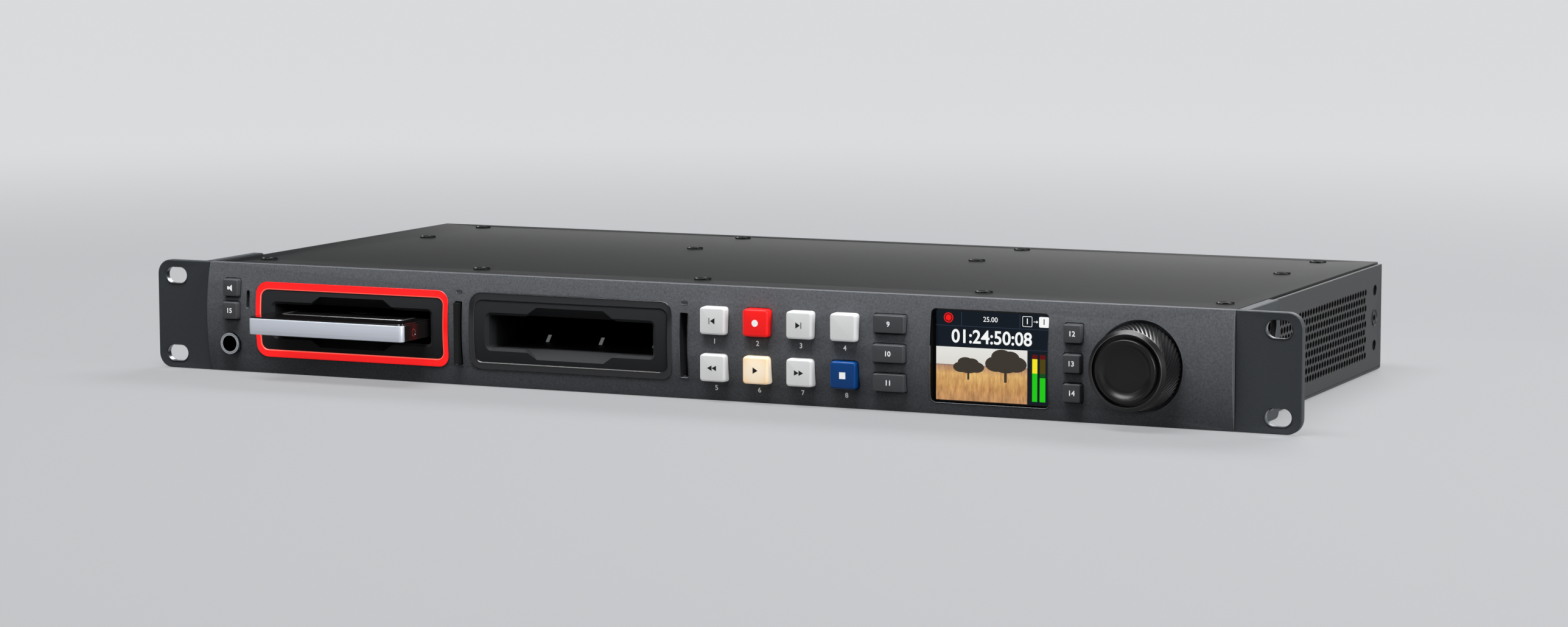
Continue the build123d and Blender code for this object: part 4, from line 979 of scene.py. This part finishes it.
# The thin lighter grey edge between the ring and the groove is a painted highlight.
bm = bmesh.new()
turned(bm, [(13.46, -19.43), (13.38, -19.52), (13.2, -19.52), (13.1, -19.40), (13.46, -19.43)],
       dial_x, 0, dial_steps)
make_piece(bm, "dial_painted_highlight_edge", [dial_painted_highlight], "dial")
bm = bmesh.new()
profile = [(0.0, -17.6), (cap_r, -17.6), (cap_r, cap_side_y)]
for step in range(1, 7):
    angle = radians(15 * step)
    profile.append((cap_r - cap_edge_r * (1 - cos(angle)), cap_side_y - cap_edge_r * sin(angle)))
for step in range(1, dish_steps + 1):
    share = step / dish_steps
    profile.append((cap_r - cap_edge_r - dish_slope * share,
                    cap_side_y - cap_edge_r + dish_depth * share * share * (3 - 2 * share)))
profile += [(5.0, -19.17), (2.5, -19.15), (0.0, -19.15)]
turned(bm, profile, dial_x, 0, dial_steps)
make_piece(bm, "dial_dish", [dial_black], "dial", ["dial_cap"])

# Drive
# A solid state drive part way into the left bay: a dark metal case with a plug recess at
# its rear, a brushed silver band across its front, a gloss black lid with a fine raised
# frame and two rings in a lighter metal finish, a painted highlight for the light they
# catch, and two threaded holes in each side.
drive_x = bay_x[0]
drive_case_y, drive_case_width, drive_case_length = 25.3, 69.75, 97.8
drive_case_top, drive_case_height, drive_side = 2.85, 6.3, 34.9
drive_rear_y = drive_case_y + drive_case_length / 2 - 0.05
plug_half_width, plug_half_height, plug_depth = 19.0, 1.2, 5.5
drive_front = (drive_x, -24.85, -0.3)
drive_front_size = (69.85, 2.3, 6.4)
lid_y, lid_width, lid_length = 24.15, 69.5, 99.8
lid_top, lid_thickness = 3.5, 0.6
emboss_y, emboss_width, emboss_length, emboss_line = 22.0, 56.0, 70.0, 1.4
emboss_ring_y, emboss_lift = 12.0, 0.12
thread_y, thread_z = (-16.4, 60.2), -0.5
drive_dark = grained("drive_dark", "2d2a2a", 0.22, 900.0, 0.06, 0.04, 0.000003, metallic=0.7)
lid_gloss = grained("lid_gloss", "100f10", 0.12, 900.0, 0.05, 0.03, 0.0000005)
lid_emboss_highlight = grained("lid_emboss_highlight", "8e8e90", 0.3, 900.0, 0.05, 0.03, 0.0000005, metallic=0.9)

# The brushing is noise drawn out along the band, in its colour and its relief.
brushed = new_finish("drive_brushed", "b4bac6", 0.36, 0.35)
tree, shader = brushed.node_tree, shader_of(brushed)
place = add_node(tree, "TexCoord")
stretch = add_node(tree, "Mapping", {"Scale": (6.0, 2600.0, 2600.0)})
lines = add_node(tree, "TexNoise", {"Scale": 1.0, "Detail": 2.0})
shade = add_fade(tree, 0.0, 1.0, 0.86, 1.12, kind="LINEAR")
tint = add_node(tree, "VectorMath", {0: tone("dfe5f0")[:3]}, operation="SCALE")
relief = add_node(tree, "Bump", {"Distance": 0.00001})
join_nodes(tree, ((place, "Object", stretch, "Vector"), (stretch, "Vector", lines, "Vector"),
                  (lines, "Fac", shade, "Value"), (shade, "Result", tint, "Scale"),
                  (tint, 0, shader, "Base Color"), (lines, "Fac", relief, "Height"),
                  (relief, "Normal", shader, "Normal")))


def rear_faces(bm):
    """The faces at the rear end of the drive's case."""
    return [face for face in bm.faces if face.calc_center_median().y > drive_rear_y]


bm = bmesh.new()
border = outline(bm, drive_x, drive_case_y, drive_case_width, drive_case_length, 1.2)
sheet_with_openings(bm, border, [], 0.2)
set_rear(bm, drive_case_height)
lay_flat(bm, drive_case_top)
bmesh.ops.recalc_face_normals(bm, faces=bm.faces[:])
for place, way in (((drive_x - plug_half_width, 0, 0), (1, 0, 0)),
                   ((drive_x + plug_half_width, 0, 0), (1, 0, 0)),
                   ((0, 0, -plug_half_height), (0, 0, 1)), ((0, 0, plug_half_height), (0, 0, 1))):
    rear = rear_faces(bm)
    bmesh.ops.bisect_plane(
        bm, dist=1e-4, plane_co=place, plane_no=way,
        geom=rear + list({edge for face in rear for edge in face.edges})
        + list({vert for face in rear for vert in face.verts}))
plug = [face for face in rear_faces(bm)
        if abs(face.calc_center_median().x - drive_x) < plug_half_width - 0.1
        and abs(face.calc_center_median().z) < plug_half_height - 0.1]
bmesh.ops.inset_individual(bm, faces=plug, thickness=0.02, depth=-plug_depth)
make_piece(bm, "drive_case", [drive_dark], "drive", ["drive_body"])

bm = bmesh.new()
block(bm, drive_front, drive_front_size)
upright = [edge for edge in bm.edges if all(vert.co.y < -25 for vert in edge.verts)
           and abs(edge.verts[0].co.x - edge.verts[1].co.x) < 0.1]
round_off(bm, upright, 1.6, 6, affect="EDGES")
flat = [edge for edge in bm.edges if len(edge.link_faces) == 2
        and edge.calc_face_angle() > 1.2 and abs(edge.verts[0].co.z - edge.verts[1].co.z) < 0.1]
round_off(bm, flat, 0.25, 3, affect="EDGES")
make_piece(bm, "drive_front_band", [brushed], "drive")

bm = bmesh.new()
border = outline(bm, drive_x, lid_y, lid_width, lid_length, 1.5, steps=6)
sheet_with_openings(bm, border, [], 0.25)
set_rear(bm, lid_thickness)
# The raised frame and rings take the lighter metal second finish, a painted highlight.
lid_emboss = bmesh.new()
border = outline(lid_emboss, drive_x, emboss_y, emboss_width, emboss_length, 2.0)
inside = outline(lid_emboss, drive_x, emboss_y, emboss_width - emboss_line,
                 emboss_length - emboss_line, 1.4)
sheet_with_openings(lid_emboss, border, [(inside, 0.1)], 0.1)
set_rear(lid_emboss, 0.3)
for profile, steps in (([(10.2, 0.17), (10.1, 0.02), (9.6, 0.02), (9.4, 0.17)], 64),
                       ([(6.2, 0.17), (6.1, 0.02), (5.8, 0.02), (5.6, 0.17)], 48)):
    turned(lid_emboss, profile, drive_x, emboss_ring_y, steps)
for face in lid_emboss.faces:
    face.material_index = 1
add_copy(bm, lid_emboss, Matrix.Translation((0, -emboss_lift, 0)))
lid_emboss.free()
lay_flat(bm, lid_top)
make_piece(bm, "drive_cover", [lid_gloss, lid_emboss_highlight], "drive", ["drive_lid"])

bm = bmesh.new()
for side in (-1, 1):
    for y in thread_y:
        thread = bmesh.new()
        turned(thread, [(1.55, 0.0), (1.45, -0.03), (1.25, -0.03), (1.1, 0.25), (1.2, 0.4),
                        (1.1, 0.55), (1.2, 0.7), (1.1, 0.85), (0.02, 1.0)],
               side * y, thread_z, 24)
        turn_to_side(thread, side, drive_side)
        add_copy(bm, thread, Matrix.Translation((drive_x, 0, 0)))
        thread.free()
make_piece(bm, "drive_threads", [plated_metal], "drive")

# Bay guides
# Pale plastic strips on the sloping tips of the guides in both bays, where a drive first
# touches them on its way in. They give a painted glow of their own, though no lamp is in them.
guide_pitch = 23.5
tip_y, tip_z = 21.93, -5.17
tip_size = (1.46, 3.6, 0.08)
guide_tip_painted_glow = grained("guide_tip_painted_glow", "d0d2d4", 0.5, 900.0, 0.1, 0.05, 0.000004)
# Painted glow: the strips give light of their own.
glow(guide_tip_painted_glow, "9a9d9f", 0.3)
for x, name in ((bay_x[0], "left"), (bay_x[1], "right")):
    bm = bmesh.new()
    for step in (-1, 0, 1):
        block(bm, (x + step * guide_pitch, tip_y, tip_z), tip_size,
              Matrix.Rotation(radians(45), 4, "X"))
    make_piece(bm, "guide_tips_" + name, [guide_tip_painted_glow], "case")

# Other parts
# Parts of the frame whose shape is used as it is: bay plates, cages, readers and card,
# lights, boards and the sockets at the rear. Each part has the finish that its slot names,
# and four slots have theirs under another name.
grained("black_plastic", "0c0d0e", 0.55, 1500.0, 0.2, 0.05, 0.00001)
grained("bezel_plastic", "292a2c", 0.6, 1500.0, 0.15, 0.05, 0.00001, specular=0.12)
grained("bare_steel", "a9adb0", 0.35, 900.0, 0.1, 0.08, 0.00001, metallic=1.0)
grained("board_green", "1d3b2a", 0.45, 900.0, 0.2, 0.1, 0.00001)
grained("clear_light", "3e4043", 0.3, 900.0, 0.05, 0.03, 0.000001)
grained("screen_window", "050606", 0.1, 900.0, 0.02, 0.02, 0.0000005)
other_names = {"drive_metal": "drive_dark", "black_gloss": "lid_gloss",
               "red_light": "ring_red", "dark_light": "ring_dark"}
slot_of = {part["node"]: part["material_slot"] for part in frame["record"]["subparts"]}
for name, node in frame["nodes"].items():
    node.data.materials.clear()
    node.data.materials.append(all_finishes[other_names.get(slot_of[name], slot_of[name])])
